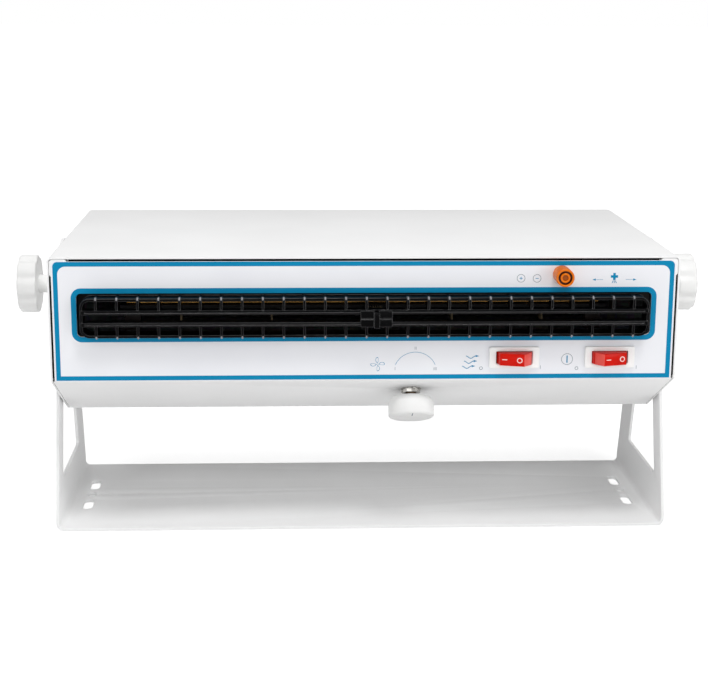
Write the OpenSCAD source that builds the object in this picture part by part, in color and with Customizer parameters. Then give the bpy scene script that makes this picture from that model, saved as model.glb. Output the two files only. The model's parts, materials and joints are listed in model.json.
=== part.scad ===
// Benchtop ionizing blower on a tilting U bracket.
// X runs to the operator's right, Y to the rear, Z up.
// The origin is at the centre of the bracket's underside, below the pivot axis.

/* [Housing] */
// Width over the cover
body_w = 400; // [360:1:480]
// Depth from the front panel to the rear wall
body_d = 216; // [212:1:260]
// Height from the underside to the top of the cover
body_h = 116; // [114:1:130]
// Height of the upright front panel
panel_h = 77.5; // [76:0.5:80]
// Depth of the sloping lower front
slope_d = 70; // [66:1:80]
// Sheet thickness of the chassis
chassis_t = 1.2; // [1:0.1:1.6]
// Sheet thickness of the cover
cover_t = 1.2; // [1:0.1:1.6]
// Shadow gap between the cover and the front panel
seam = 1.3; // [0.8:0.1:1.6]
// Fitting gap between the cover and the other chassis edges
fit_gap = 0.3; // [0.2:0.05:0.5]
// Bend radius of the cover's top edges
cover_bend = 3; // [2:0.5:5]
// Bend radius of the chassis
chassis_bend = 2; // [1.5:0.5:4]
// Height of the chassis side flanges
flange_h = 14; // [12:1:18]

/* [Bracket] */
// Height of the pivot axis above the underside
pivot_z = 154; // [150:1:180]
// Pivot axis behind the front panel
pivot_back = 94; // [88:1:100]
// Pivot axis above the housing's underside
pivot_rise = 82; // [78:1:84]
// Bracket sheet thickness
bracket_t = 2; // [1.5:0.1:3]
// Depth of the bracket's base
base_d = 144; // [130:1:160]
// Outer bend radius of the bracket
bracket_bend = 5; // [4:0.5:8]
// Radius of the rounded top of each side plate
plate_r = 31; // [26:1:33]
// Web between the window and the rounded top
window_web = 10; // [6:1:20]
// Height at which the side plates start to taper
taper_z = 8; // [6:1:14]
// Height of the window's lower edge
window_z = 28.5; // [24:0.5:36]
// Width of the strip in front of the window
front_strip = 20; // [14:0.5:24]
// Width of the strip behind the window
rear_strip = 30; // [22:0.5:34]
// Width of the base's mounting holes and slots
hole_d = 7; // [5:0.5:8]
// Length of the base's mounting slots
slot_l = 20; // [14:1:24]
// Distance from the base's centre to each slot's centre
slot_pitch = 21.5; // [20:0.5:26]
// Distance of the holes from the bracket's outer face
hole_in = 15; // [12:0.5:20]

/* [Side knobs] */
// Clamping stud diameter
stud_d = 6; // [5:0.5:8]
// Radial running clearance of the studs
stud_gap = 0.05; // [0.02:0.01:0.08]
// Thickness of the friction washers
washer_t = 1.5; // [1:0.1:2.5]
// Diameter of the friction washers
washer_d = 26; // [22:1:30]
// Diameter of the side knobs
knob_d = 39.5; // [34:0.5:44]
// Thickness of the side knobs' grip
knob_t = 12.5; // [10:0.5:16]
// Diameter of the side knobs' hub
hub_d = 12.5; // [11:0.5:16]
// Length of the side knobs' hub
hub_l = 16; // [12:0.5:20]
// Number of grip flutes
flutes = 8; // [6:1:12]

/* [Outlet] */
// Margin between the ends of the outlet and the ends of the panel
outlet_in = 15.2; // [14:0.1:30]
// Height of the air outlet
outlet_h = 28; // [26:0.5:30]
// Corner radius of the air outlet
outlet_r = 3; // [2:0.5:5]
// Outlet centre below the top of the cover
outlet_drop = 37; // [36:0.5:38]
// How far the guard stands out of the panel
guard_out = 11.5; // [8:0.5:14]
// Height of the guard
guard_h = 25; // [24:0.5:26]
// Gap between the guard and the ends of the outlet
guard_end_gap = 3.3; // [2:0.1:5]
// Wall thickness of the guard
guard_t = 1.6; // [1.2:0.1:2.2]
// Thickness of the guard's ribs
rib_t = 1.5; // [1.2:0.1:2]
// Spacing of the guard's ribs
rib_pitch = 13; // [10:0.5:16]
// Height of the guard's two rails
rail_h = 2.6; // [2:0.1:3.2]
// Height of the slot between the rails
rail_slot = 5.2; // [5:0.1:6]
// Thickness of the guard's rear flange
guard_flange_t = 1.5; // [1.2:0.1:2.2]

/* [Point cleaner] */
// Place of the slider along the guard
slider_x = 6; // [-150:1:150]
// Width of the slider
slider_w = 20; // [16:1:26]
// Running gap round the slider
slide_gap = 0.35; // [0.3:0.05:0.6]

/* [Controls] */
// Switch bezel width
bezel_w = 32; // [30:0.5:34]
// Switch bezel height
bezel_h = 13.8; // [13:0.1:15]
// Rocker width
rocker_w = 23; // [21:0.5:24]
// Rocker height
rocker_h = 7.8; // [7:0.1:9]
// Rocker tilt to each side
rocker_tilt = 16; // [10:1:18]
// Switch centres below the outlet centre
switch_drop = 28.2; // [27:0.1:29]
// Warm-air switch, from the right side of the cover
heat_switch_in = 104.8; // [95:0.1:115]
// Power switch, from the right side of the cover
power_switch_in = 43.3; // [35:0.1:55]
// Lamp, from the right side of the cover
lamp_in = 75.8; // [60:0.1:90]
// Lamp centre above the outlet centre
lamp_rise = 25.5; // [24:0.1:27]
// Lamp lens diameter
lens_d = 11.5; // [10:0.5:13]
// How far the lamp lens stands out
lens_l = 14; // [8:0.5:16]
// Place of the fan-speed knob
speed_x = 31; // [-20:0.5:60]
// Fan-speed knob down the sloping front
speed_s = 26; // [22:0.5:32]
// Fan-speed knob diameter
speed_d = 30; // [24:0.5:34]
// Fan-speed knob length
speed_l = 13.8; // [10:0.2:18]
// Gap between the sloping front and the fan-speed knob
speed_gap = 5.4; // [5:0.1:8]

/* [Fan] */
// Impeller radius
fan_r = 30; // [26:0.5:31]
// Number of impeller blades
blades = 30; // [20:1:36]
// Left end of the impeller, from the side of the cover
fan_in_left = 50; // [44:1:80]
// Right end of the impeller, from the side of the cover
fan_in_right = 62; // [60:1:90]
// Fan axis behind the pivot axis
fan_y = 22; // [20:0.5:24]
// Fan axis below the outlet centre
fan_drop = 19; // [17:0.5:20]
// Fan shaft diameter
shaft_d = 5; // [4:0.5:6]
// Sheet thickness of the fan housing
duct_t = 1; // [0.8:0.1:1.4]

/* [Ionizer] */
// Number of emitter points
points = 11; // [7:1:15]
// Spacing of the emitter points
point_pitch = 29; // [20:0.5:29]
// Tips of the points behind the panel face
tip_back = 15.5; // [15:0.5:17]

/* [Rear] */
// Margins of the intake window in the rear wall, added together
intake_margin = 120; // [110:1:180]
// Intake window height
intake_h = 84; // [70:1:86]
// Intake window centre, from the centre of the housing
intake_x = -20; // [-40:1:-16]
// Power inlet, from the right side of the cover
inlet_in = 34; // [30:1:40]

/* [Hidden] */

$fn = 64;

// Reference planes of the housing
face_y = -pivot_back;
rear_y = face_y + body_d;
floor_z = pivot_z - pivot_rise;
roof_z = floor_z + body_h;
cover_in = roof_z - cover_t;
side_in = body_w / 2 - cover_t;
panel_top = cover_in - seam;
panel_hw = side_in - seam;
outlet_hw = panel_hw - outlet_in;
slope_top = panel_top - panel_h;
slope_end = face_y + slope_d;
chassis_hw = side_in - fit_gap;
outlet_z = roof_z - outlet_drop;
tray_z = floor_z + chassis_t;

// The sloping front, from its upper edge down to the floor
slope_drop = slope_top - floor_z;
slope_angle = atan2(slope_drop, slope_d);
slope_dir = [cos(slope_angle), -sin(slope_angle)];

// Bracket
plate_in = body_w / 2 + washer_t;
plate_out = plate_in + bracket_t;
hole_x = plate_out - hole_in;

// Pivot
stud_r = stud_d / 2;
sleeve_r = stud_r + 3;
pivot_plate_t = 2;
pivot_plate_x = body_w / 2 - 8;
stud_in = pivot_plate_x - 6;
stud_in_knob = hub_l + 6;

// Screws
m3_r = 1.5;
m3_head = 2.8;
thread_gap = 0.03;
screw_pitch = 58;
screw_z = floor_z + flange_h - 6;

// Overlay and its printed bands
overlay_t = 0.4;
overlay_in = 0.2;
overlay_y = face_y - overlay_t;
ink_t = 0.06;
band_w = 2.9;
band_side = 1.2;
band_top = 0.4;
band_bottom = 0.7;
ring_w = 3.3;
cover_front = overlay_y;

// Outlet guard
guard_hw = outlet_hw - guard_end_gap;
guard_y = face_y - guard_out;
guard_r = 6;
wall_set_back = 0.6;
rib_over = 0.6;
rib_back = face_y - 1;
rail_y = guard_y - 0.5;
rail_d = 8;
rail_mid = (rail_slot + rail_h) / 2;
rib_count = 2 * floor((guard_hw - guard_t - 4) / rib_pitch) + 1;
flange_out = 7.8;
flange_up = 6.2;
guard_stud_x = outlet_hw + 4.5;
guard_stud_z = outlet_h / 2 + 3.4;
nut_h = 2.4;

// Slider and brush
slider_y = rail_y - slide_gap;
slider_t = 2.4;
slider_h = rail_slot + 2 * rail_h;
fin_l = 6;
fin_t = 3.4;
carriage_y = rail_y + rail_d + slide_gap;
carriage_t = 2.5;

// Emitter points
tip_y = face_y + tip_back;
bar_y = tip_y + 8.5;
bar_d = 10;
bar_h = 5;
needle_r = 0.8;
bus_r = 1;
bar_hw = (points - 1) / 2 * point_pitch + 12;
post_x = bar_hw - 8;

// Fan and duct
fan_z = outlet_z - fan_drop;
fan_gap = 4;
scroll_r = fan_r + fan_gap;
end_gap = 6;
fan_x0 = fan_in_left - body_w / 2;
fan_x1 = body_w / 2 - fan_in_right;
fan_left = fan_x0 - end_gap;
fan_right = fan_x1 + end_gap;
duct_front = face_y + chassis_t + guard_flange_t;
duct_low = outlet_z - outlet_h / 2;
duct_high = outlet_z + outlet_h / 2;
duct_hw = outlet_hw + 1.5;
duct_back = fan_y - 42;
fan_plate_front = duct_back;
fan_plate_rear = fan_y + 42;
shaft_r = shaft_d / 2;
run_gap = 0.04;

// Motor
motor_x = fan_right + duct_t + 8;
stack_t = 18;
core_hw = 28;
core_low = 46;
core_high = 26;
bore_r = 15.5;
air_gap = 0.4;

// Heater
heater_y = face_y + 53;
heater_d = 14;
heater_hw = 130;
wire_r = 2;
wire_pitch = 8;
board_pitch = 60;

// Electronics on the floor
module_size = [86, 56, 20];
module_at = [fan_left + 16, -12];
board_size = [92, 56];
board_at = [module_at[0] + module_size[0] + 12, -12];
board_t = 1.6;
spacer_h = 5;

// Switches
heat_switch_x = body_w / 2 - heat_switch_in;
power_switch_x = body_w / 2 - power_switch_in;
switch_body_w = 28;
switch_body_h = 11.6;
switch_cut = 0.25;
bezel_t = 2.2;
rocker_sink = 1.6;
rocker_gap = 0.35;
rocker_pin_r = 1;
rocker_r = rocker_w / 2 - 0.1;
rocker_face = 7.8;
rocker_rise = 8.6;
rocker_low = 24;
switch_z = outlet_z - switch_drop;
switch_d = 20;

// Lamp
lamp_x = body_w / 2 - lamp_in;
lamp_z = outlet_z + lamp_rise;
lamp_r = lens_d / 2 - 1;

// Fan-speed control
speed_y = face_y + speed_s * slope_dir[0];
speed_z = slope_top + speed_s * slope_dir[1];
bushing_r = 3.5;
spindle_r = 3;

// Rear fittings
intake_w = body_w - intake_margin;
inlet_x = body_w / 2 - inlet_in;
inlet_z = floor_z + 33;
inlet_w = 27;
inlet_h = 28;
inlet_depth = 22;
inlet_flange = [50, 30, 3];
inlet_screw_x = 20;
socket_w = 24;
socket_h = 16.4;
socket_z = inlet_z + 4;
socket_d = 17;
drawer_w = 23;
drawer_h = 6.4;
drawer_d = 18;
drawer_z = inlet_z - 9;
intake_z = (floor_z + cover_in) / 2;
intake_rim = 8;
guard_plate_t = 1.5;
ground_z = floor_z + 70;

// --- Shape helpers -------------------------------------------------------

function unit(v) = v / norm(v);

function turned(p, a) = [p[0] * cos(a) - p[1] * sin(a), p[0] * sin(a) + p[1] * cos(a)];

function arc(c, r, a0, a1, n = 12) =
    [for (i = [0 : n]) c + r * [cos(a0 + (a1 - a0) * i / n), sin(a0 + (a1 - a0) * i / n)]];

// Points of the arc that rounds the corner b between a and c
function corner(a, b, c, r, n = 5) =
    let (u = unit(a - b), v = unit(c - b), half = acos(u * v) / 2,
         m = b + unit(u + v) * r / sin(half),
         s = b + u * r / tan(half), e = b + v * r / tan(half),
         a0 = atan2(s[1] - m[1], s[0] - m[0]), a1 = atan2(e[1] - m[1], e[0] - m[0]),
         turn = a1 - a0 > 180 ? a1 - a0 - 360 : a1 - a0 < -180 ? a1 - a0 + 360 : a1 - a0)
    arc(m, r, a0, a0 + turn, n);

// An open path with its corners rounded
function bent(p, r) = [p[0],
    for (i = [1 : len(p) - 2]) for (q = corner(p[i - 1], p[i], p[i + 1], r)) q,
    p[len(p) - 1]];

// A closed outline with its corners rounded
function rounded(p, r) = [for (i = [0 : len(p) - 1])
    for (q = corner(p[(i + len(p) - 1) % len(p)], p[i], p[(i + 1) % len(p)], r)) q];

// The path moved by t to its left
function beside(p, t) = [for (i = [0 : len(p) - 1])
    let (j = max(i, 1), k = min(i, len(p) - 2),
         d0 = unit(p[j] - p[j - 1]), d1 = unit(p[k + 1] - p[k]),
         n0 = [-d0[1], d0[0]], n1 = [-d1[1], d1[0]])
    p[i] + t * (n0 + n1) / (1 + n0 * n1)];

function reversed(p) = [for (i = [len(p) - 1 : -1 : 0]) p[i]];

// Sheet metal seen edge-on: an open path with a thickness to its left
module sheet_edge(p, t) {
    polygon(concat(p, reversed(beside(p, t))));
}

// Extrudes a Y-Z outline along X, from x0 to x1
module across(x0, x1) {
    translate([x0, 0, 0]) rotate([90, 0, 90]) linear_extrude(x1 - x0) children();
}

// Extrudes an X-Z outline along Y, from y0 to y1
module along_y(y0, y1) {
    translate([0, y1, 0]) rotate([90, 0, 0]) linear_extrude(y1 - y0) children();
}

module rounded_rect(w, h, r) {
    square([w - 2 * r, h], center = true);
    square([w, h - 2 * r], center = true);
    for (x = [-1, 1], z = [-1, 1])
        translate([x * (w / 2 - r), z * (h / 2 - r)]) circle(r);
}

module box(lo, hi) {
    translate(lo) cube(hi - lo);
}

// Cylinder along X at (y, z)
module rod_x(r, x0, x1, y = 0, z = 0) {
    translate([x0, y, z]) rotate([0, 90, 0]) cylinder(r = r, h = x1 - x0);
}

// Cylinder along Y at (x, z)
module rod_y(r, y0, y1, x = 0, z = 0) {
    translate([x, y1, z]) rotate([90, 0, 0]) cylinder(r = r, h = y1 - y0);
}

module mirrored() {
    children();
    mirror([1, 0, 0]) children();
}

// Stands children on the sloping front, with Z pointing out of it
module on_slope() {
    translate([speed_x, speed_y, speed_z]) rotate([180 - slope_angle, 0, 0]) children();
}

// Places children at the outlet's centre on the panel
module at_outlet() {
    translate([0, 0, outlet_z]) children();
}

// --- Bracket -------------------------------------------------------------

// Side view of the bracket, with its rounded top round the pivot
module side_outline() {
    foot = [-base_d / 2, taper_z];
    top = [0, pivot_z];
    reach = foot - top;
    start = atan2(reach[1], reach[0]) + 360 - acos(plate_r / norm(reach));
    polygon(concat([[-base_d / 2, -1], foot],
                   arc(top, plate_r, start, 180 - start, 32),
                   [[base_d / 2, taper_z], [base_d / 2, -1]]));
}

// Opening that lightens each side plate
module window_outline() {
    top_z = pivot_z - plate_r - window_web;
    lean = (base_d / 2 - plate_r) / (pivot_z - taper_z);
    front = function (z) -base_d / 2 + front_strip + lean * (z - taper_z);
    rear = function (z) base_d / 2 - rear_strip - lean * (z - taper_z);
    polygon(rounded([[front(window_z), window_z], [rear(window_z), window_z],
                     [rear(top_z), top_z], [front(top_z), top_z]], 3));
}

module stand_bracket() {
    run = slot_l - hole_d;
    color("whitesmoke")
    difference() {
        intersection() {
            along_y(-base_d / 2, base_d / 2)
                sheet_edge(bent([[-plate_out, pivot_z + plate_r], [-plate_out, 0],
                                 [plate_out, 0], [plate_out, pivot_z + plate_r]],
                                bracket_bend), bracket_t);
            across(-plate_out, plate_out) side_outline();
        }
        across(-plate_out - 1, plate_out + 1) window_outline();
        rod_x(stud_r + stud_gap, -plate_out - 1, plate_out + 1, 0, pivot_z);
        for (x = [-hole_x, hole_x]) translate([x, 0, -1]) linear_extrude(bracket_t + 2) {
            circle(d = hole_d);
            for (y = [-slot_pitch, slot_pitch]) translate([0, y]) {
                square([hole_d, run], center = true);
                for (s = [-run / 2, run / 2]) translate([0, s]) circle(d = hole_d);
            }
        }
    }
}

// --- Sheet-metal housing -------------------------------------------------

// Cut-outs that the overlay and the front panel share
module panel_cutouts() {
    translate([0, outlet_z]) rounded_rect(2 * outlet_hw, outlet_h, outlet_r);
    translate([lamp_x, lamp_z]) circle(r = lamp_r);
    for (x = [heat_switch_x, power_switch_x])
        translate([x, switch_z])
            square([switch_body_w + 2 * switch_cut, switch_body_h + 2 * switch_cut], center = true);
}

module chassis_section() {
    top = cover_in - fit_gap;
    sheet_edge(bent([[face_y + 10, panel_top], [face_y, panel_top], [face_y, slope_top],
                     [slope_end, floor_z], [rear_y, floor_z], [rear_y, top],
                     [rear_y - 12, top]], chassis_bend), chassis_t);
}

// Small corner tabs that close the seam at the top of the front panel
module corner_tabs() {
    tab = 10;
    top = cover_in - fit_gap;
    r = cover_bend - cover_t;
    along_y(face_y, face_y + chassis_t)
        for (s = [-1, 1]) {
            polygon(rounded([[s * (panel_hw - tab), panel_top - tab], [s * chassis_hw, panel_top - tab],
                             [s * chassis_hw, top], [s * (panel_hw - tab), top]], r));
        }
}

// Rounds the chassis under the bends of the cover
module corner_relief(y0, y1) {
    r = cover_bend - cover_t;
    along_y(y0, y1) translate([chassis_hw - r, cover_in - fit_gap - r]) difference() {
        square(r + 1);
        circle(r = r);
    }
}

module chassis() {
    color("white")
    difference() {
        union() {
            difference() {
                across(-chassis_hw, chassis_hw) chassis_section();
                mirrored() box([panel_hw, face_y - 1, slope_top],
                               [chassis_hw + 1, face_y + 11, panel_top + 1]);
            }
            corner_tabs();
            mirrored() box([chassis_hw - chassis_t, slope_end + 4, floor_z],
                           [chassis_hw, rear_y - 4, floor_z + flange_h]);
            for (x = [-1, 1], z = [-1, 1])
                rod_y(m3_r, face_y + chassis_t / 2, duct_front + nut_h + 1,
                      x * guard_stud_x, outlet_z + z * guard_stud_z);
        }
        mirrored() corner_relief(rear_y - 13, rear_y + 1);
        along_y(face_y - 1, face_y + chassis_t + 0.5) panel_cutouts();
        on_slope() cylinder(r = bushing_r + 0.2, h = 10, center = true);
        mirrored() cover_screw_holes(m3_r + thread_gap);
        along_y(rear_y - chassis_t - 1, rear_y + 1) {
            translate([intake_x, intake_z]) square([intake_w, intake_h], center = true);
            translate([inlet_x, inlet_z]) square([inlet_w + 0.4, inlet_h + 0.4], center = true);
            for (x = [-1, 1]) translate([inlet_x + x * inlet_screw_x, inlet_z]) circle(r = m3_r + thread_gap);
            guard_screw_places() circle(r = m3_r + thread_gap);
            translate([inlet_x, ground_z]) circle(r = 2 + thread_gap);
        }
    }
}

module cover_screw_holes(r) {
    for (y = [-1, 0, 1])
        rod_x(r, side_in - 8, body_w / 2 + 1, screw_mid_y() + y * screw_pitch, screw_z);
}

function screw_mid_y() = (slope_end + rear_y) / 2;

// Cone of a countersunk head, widest at the cover's outer face
module countersink(grow) {
    depth = m3_head - m3_r;
    for (y = [-1, 0, 1])
        translate([body_w / 2 - depth, screw_mid_y() + y * screw_pitch, screw_z]) rotate([0, 90, 0])
            cylinder(r1 = m3_r + grow, r2 = m3_head + grow, h = depth);
}

module top_cover() {
    hw = body_w / 2;
    color("white")
    difference() {
        intersection() {
            along_y(cover_front, rear_y)
                sheet_edge(bent([[hw, floor_z - 1], [hw, roof_z], [-hw, roof_z], [-hw, floor_z - 1]],
                                cover_bend), cover_t);
            across(-hw, hw)
                polygon([[cover_front, roof_z], [rear_y, roof_z], [rear_y, floor_z], [slope_end, floor_z],
                         [cover_front, slope_top + overlay_t * tan(slope_angle)]]);
        }
        mirrored() {
            rod_x(sleeve_r + fit_gap, side_in - 1, hw + 1, 0, pivot_z);
            cover_screw_holes(m3_r + 0.1);
            countersink(0.1);
        }
    }
}

module cover_screws() {
    depth = m3_head - m3_r;
    color("silver")
    mirrored() difference() {
        union() {
            countersink(0);
            for (y = [-1, 0, 1])
                rod_x(m3_r, side_in - 6, body_w / 2 - depth, screw_mid_y() + y * screw_pitch, screw_z);
        }
        for (y = [-1, 0, 1], a = [0, 90])
            translate([body_w / 2, screw_mid_y() + y * screw_pitch, screw_z]) rotate([a, 0, 0])
                cube([1.2, 3.2, 0.7], center = true);
    }
}

module panel_overlay() {
    hw = panel_hw - overlay_in;
    r = cover_bend;
    color("gainsboro")
    along_y(overlay_y, face_y) difference() {
        union() {
            translate([0, (panel_top + slope_top) / 2])
                rounded_rect(2 * hw, panel_h - 2 * overlay_in, r);
            translate([-hw, slope_top + overlay_in]) square([2 * hw, 2 * r]);
        }
        panel_cutouts();
    }
}

// Outline of the border band, square at the bottom and rounded at the top
module border_outline(inset, r) {
    hw = panel_hw - band_side - inset;
    low = slope_top + band_bottom + inset;
    high = panel_top - band_top - inset;
    translate([0, (low + high) / 2]) rounded_rect(2 * hw, high - low, r);
    translate([-hw, low]) square([2 * hw, 2 * r]);
}

// Printed bands: one round the panel, one round the outlet
module border_print() {
    color("steelblue")
    along_y(overlay_y - ink_t, overlay_y) {
        difference() {
            border_outline(0, cover_bend);
            border_outline(band_w, cover_bend + 2);
        }
        translate([0, outlet_z]) difference() {
            rounded_rect(2 * (outlet_hw + ring_w), outlet_h + 2 * ring_w, outlet_r + ring_w);
            rounded_rect(2 * outlet_hw, outlet_h, outlet_r);
        }
    }
}

// --- Pivots and side knobs -----------------------------------------------

// Angle plate with a threaded sleeve that the clamping stud screws into
module pivot_plate() {
    color("silver")
    difference() {
        union() {
            along_y(slope_end + 4, 40)
                sheet_edge(bent([[pivot_plate_x - 20, tray_z], [pivot_plate_x, tray_z],
                                 [pivot_plate_x, pivot_z + 16]], 3), pivot_plate_t);
            rod_x(sleeve_r, pivot_plate_x - pivot_plate_t, body_w / 2, 0, pivot_z);
        }
        rod_x(stud_r + stud_gap, stud_in - 1, body_w / 2 + 1, 0, pivot_z);
    }
}

module pivot_plate_right() { pivot_plate(); }
module pivot_plate_left() { mirror([1, 0, 0]) pivot_plate(); }

module friction_washers() {
    color("dimgray")
    mirrored() difference() {
        rod_x(washer_d / 2, body_w / 2, plate_in, 0, pivot_z);
        rod_x(stud_r + fit_gap, body_w / 2 - 1, plate_in + 1, 0, pivot_z);
    }
}

// Fluted grip and hub, with a blind hole for the stud
module side_knob() {
    r = knob_d / 2;
    edge = 1.2;
    far = hub_l + knob_t;
    color("white")
    translate([plate_out, 0, pivot_z]) rotate([0, 90, 0]) difference() {
        union() {
            cylinder(d = hub_d, h = hub_l + 1);
            rotate_extrude() polygon([[0, hub_l], [r - edge / 2, hub_l], [r, hub_l + edge / 2],
                                      [r, far - edge], [r - edge, far], [r - 5 * edge, far + 0.8],
                                      [0, far + 1.2]]);
        }
        for (i = [0 : flutes - 1]) rotate([0, 0, (i + 0.5) * 360 / flutes])
            translate([r + 3, 0, hub_l - 1]) cylinder(r = 4.5, h = knob_t + 4);
        translate([0, 0, -1]) cylinder(r = stud_r, h = stud_in_knob + 1);
    }
}

module side_knob_right() { side_knob(); }
module side_knob_left() { mirror([1, 0, 0]) side_knob(); }

module side_stud() {
    color("silver") rod_x(stud_r, stud_in, plate_out + stud_in_knob, 0, pivot_z);
}

module side_stud_right() { side_stud(); }
module side_stud_left() { mirror([1, 0, 0]) side_stud(); }

// --- Outlet guard and point cleaner --------------------------------------

// Side view of one row of ribs, above the rails
module rib_outline() {
    low = rail_mid + rail_h / 2 - 0.2;
    high = guard_h / 2 + rib_over;
    soft = 2;
    polygon([[guard_y, low], [guard_y, high - soft], [guard_y + 0.3 * soft, high - 0.3 * soft],
             [guard_y + soft, high], [rib_back, high], [rib_back, low]]);
}

module outlet_guard() {
    color("black")
    at_outlet() difference() {
        union() {
            along_y(guard_y + wall_set_back, face_y + chassis_t) difference() {
                rounded_rect(2 * guard_hw, guard_h, guard_r);
                rounded_rect(2 * (guard_hw - guard_t), guard_h - 2 * guard_t, guard_r - guard_t);
            }
            along_y(face_y + chassis_t, duct_front) difference() {
                rounded_rect(2 * (outlet_hw + flange_out), outlet_h + 2 * flange_up, 4);
                rounded_rect(2 * (guard_hw - guard_t), guard_h - 2 * guard_t, guard_r - guard_t);
                for (x = [-1, 1], z = [-1, 1])
                    translate([x * guard_stud_x, z * guard_stud_z]) circle(r = m3_r + 0.1);
            }
            for (i = [-(rib_count - 1) / 2 : (rib_count - 1) / 2], s = [0, 1])
                mirror([0, 0, s]) across(i * rib_pitch - rib_t / 2, i * rib_pitch + rib_t / 2)
                    rib_outline();
            for (s = [-1, 1])
                box([-guard_hw + guard_t / 2, rail_y, s * rail_mid - rail_h / 2],
                    [guard_hw - guard_t / 2, rail_y + rail_d, s * rail_mid + rail_h / 2]);
        }
        for (s = [-1, 1])
            box([-guard_hw + 2 * guard_t, rail_y - 1, s * rail_mid - 0.4],
                [guard_hw - 2 * guard_t, rail_y + 0.8, s * rail_mid + 0.4]);
    }
}

module hex_nut(r, hole, h) {
    difference() {
        cylinder(r = r, h = h, $fn = 6);
        translate([0, 0, -1]) cylinder(r = hole, h = h + 2);
    }
}

module guard_nuts() {
    color("silver")
    for (x = [-1, 1], z = [-1, 1])
        translate([x * guard_stud_x, duct_front, outlet_z + z * guard_stud_z]) rotate([-90, 0, 0])
            hex_nut(3.1, m3_r + thread_gap, nut_h);
}

// Slider that rides on the rails and reaches through the slot
module cleaner_slider() {
    neck = rail_slot / 2 - slide_gap;
    hh = slider_h / 2;
    front = slider_y - slider_t;
    fin_r = 2;
    color("black")
    translate([slider_x, 0, outlet_z]) {
        difference() {
            box([-slider_w / 2, front, -hh], [slider_w / 2, slider_y, hh]);
            for (s = [-1, 1])
                box([min(s * fin_t / 2, s * (slider_w / 2 + 1)), front - 1, -0.4],
                    [max(s * fin_t / 2, s * (slider_w / 2 + 1)), front + 0.7, 0.4]);
        }
        across(-fin_t / 2, fin_t / 2)
            polygon(concat([[front + 0.5, -hh]], arc([front - fin_l + fin_r, -hh + fin_r], fin_r, 270, 180, 6),
                           arc([front - fin_l + fin_r, hh - fin_r], fin_r, 180, 90, 6),
                           [[front + 0.5, hh]]));
        box([-slider_w / 2 + 4, slider_y - 0.5, -neck], [slider_w / 2 - 4, carriage_y + 0.5, neck]);
        box([-slider_w / 2 + 1, carriage_y, -hh + 1], [slider_w / 2 - 1, carriage_y + carriage_t, hh - 1]);
    }
}

// Bristle tufts on a block behind the slider; they sweep past the needle tips
module cleaner_brush() {
    back = carriage_y + carriage_t;
    block = 7;
    color("tan")
    translate([slider_x, 0, outlet_z]) {
        box([-5, back, -3.5], [5, back + block, 3.5]);
        for (x = [-3 : 2 : 3], z = [-2 : 2 : 2])
            rod_y(0.7, back + block, tip_y - 0.5, x, z);
    }
}

// --- Emitter and heater --------------------------------------------------

module at_points() {
    for (i = [0 : points - 1])
        translate([(i - (points - 1) / 2) * point_pitch, 0, outlet_z]) children();
}

module emitter_bar() {
    color("dimgray")
    difference() {
        translate([0, 0, outlet_z])
            box([-bar_hw, bar_y - bar_d / 2, -bar_h / 2], [bar_hw, bar_y + bar_d / 2, bar_h / 2]);
        at_points() rod_y(needle_r + thread_gap, bar_y - bar_d, bar_y + bar_d);
    }
}

// Brass rod along the top of the bar that feeds every point
module emitter_bus() {
    color("goldenrod")
    rod_x(bus_r, -bar_hw + 4, bar_hw - 4, bar_y, outlet_z + bar_h / 2 + bus_r);
}

module emitter_points() {
    sharp = 4;
    color("silver")
    at_points() {
        rod_y(needle_r, tip_y + sharp, bar_y + bar_d / 2 + 1);
        translate([0, tip_y + sharp, 0]) rotate([90, 0, 0]) cylinder(r1 = needle_r, r2 = 0.1, h = sharp);
    }
}

// Ceramic posts that carry the bar on the duct floor
module emitter_posts() {
    color("ivory")
    for (s = [-1, 1])
        box([s * post_x - 5, bar_y - 4, duct_low], [s * post_x + 5, bar_y + 4, outlet_z - bar_h / 2]);
}

module heater_boards() {
    color("tan")
    for (i = [-2 : 2]) difference() {
        box([i * board_pitch - 0.5, heater_y - heater_d / 2, duct_low],
            [i * board_pitch + 0.5, heater_y + heater_d / 2, duct_high]);
        for (k = [-1, 0, 1])
            rod_x(wire_r + thread_gap, i * board_pitch - 1, i * board_pitch + 1,
                  heater_y, outlet_z + k * wire_pitch);
    }
}

module heater_wires() {
    color("silver")
    for (k = [-1, 0, 1])
        rod_x(wire_r, -heater_hw, heater_hw, heater_y, outlet_z + k * wire_pitch);
}

// Safety thermostat on the duct roof, above the heater
module thermal_cutout() {
    color("black")
    translate([0, heater_y, duct_high + duct_t]) {
        cylinder(r = 8, h = 6);
        for (x = [-4, 4]) box([x - 0.4, -3, 5.5], [x + 0.4, 3, 12]);
    }
}

// --- Fan and duct --------------------------------------------------------

module fan_plate(x, hole) {
    top = duct_high + duct_t + 4;
    color("lightgray")
    difference() {
        union() {
            box([x, fan_plate_front, tray_z], [x + duct_t, fan_plate_rear, top]);
            box([min(x, x + sign(x) * 10), fan_plate_front, tray_z],
                [max(x + duct_t, x + sign(x) * 10), fan_plate_rear, tray_z + duct_t]);
        }
        rod_x(hole, x - 1, x + duct_t + 1, fan_y, fan_z);
    }
}

module fan_plate_left() { fan_plate(fan_left - duct_t, 8); }
module fan_plate_right() { fan_plate(fan_right, 9); }

// Plan of the duct: as wide as the fan at the rear, as the outlet in front
module duct_plan(z0, z1) {
    wide = duct_hw + duct_t;
    translate([0, 0, z0]) linear_extrude(z1 - z0)
        polygon([[-wide, duct_front], [wide, duct_front], [fan_right, duct_back],
                 [fan_right, fan_plate_rear], [fan_left, fan_plate_rear], [fan_left, duct_back]]);
}

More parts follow.
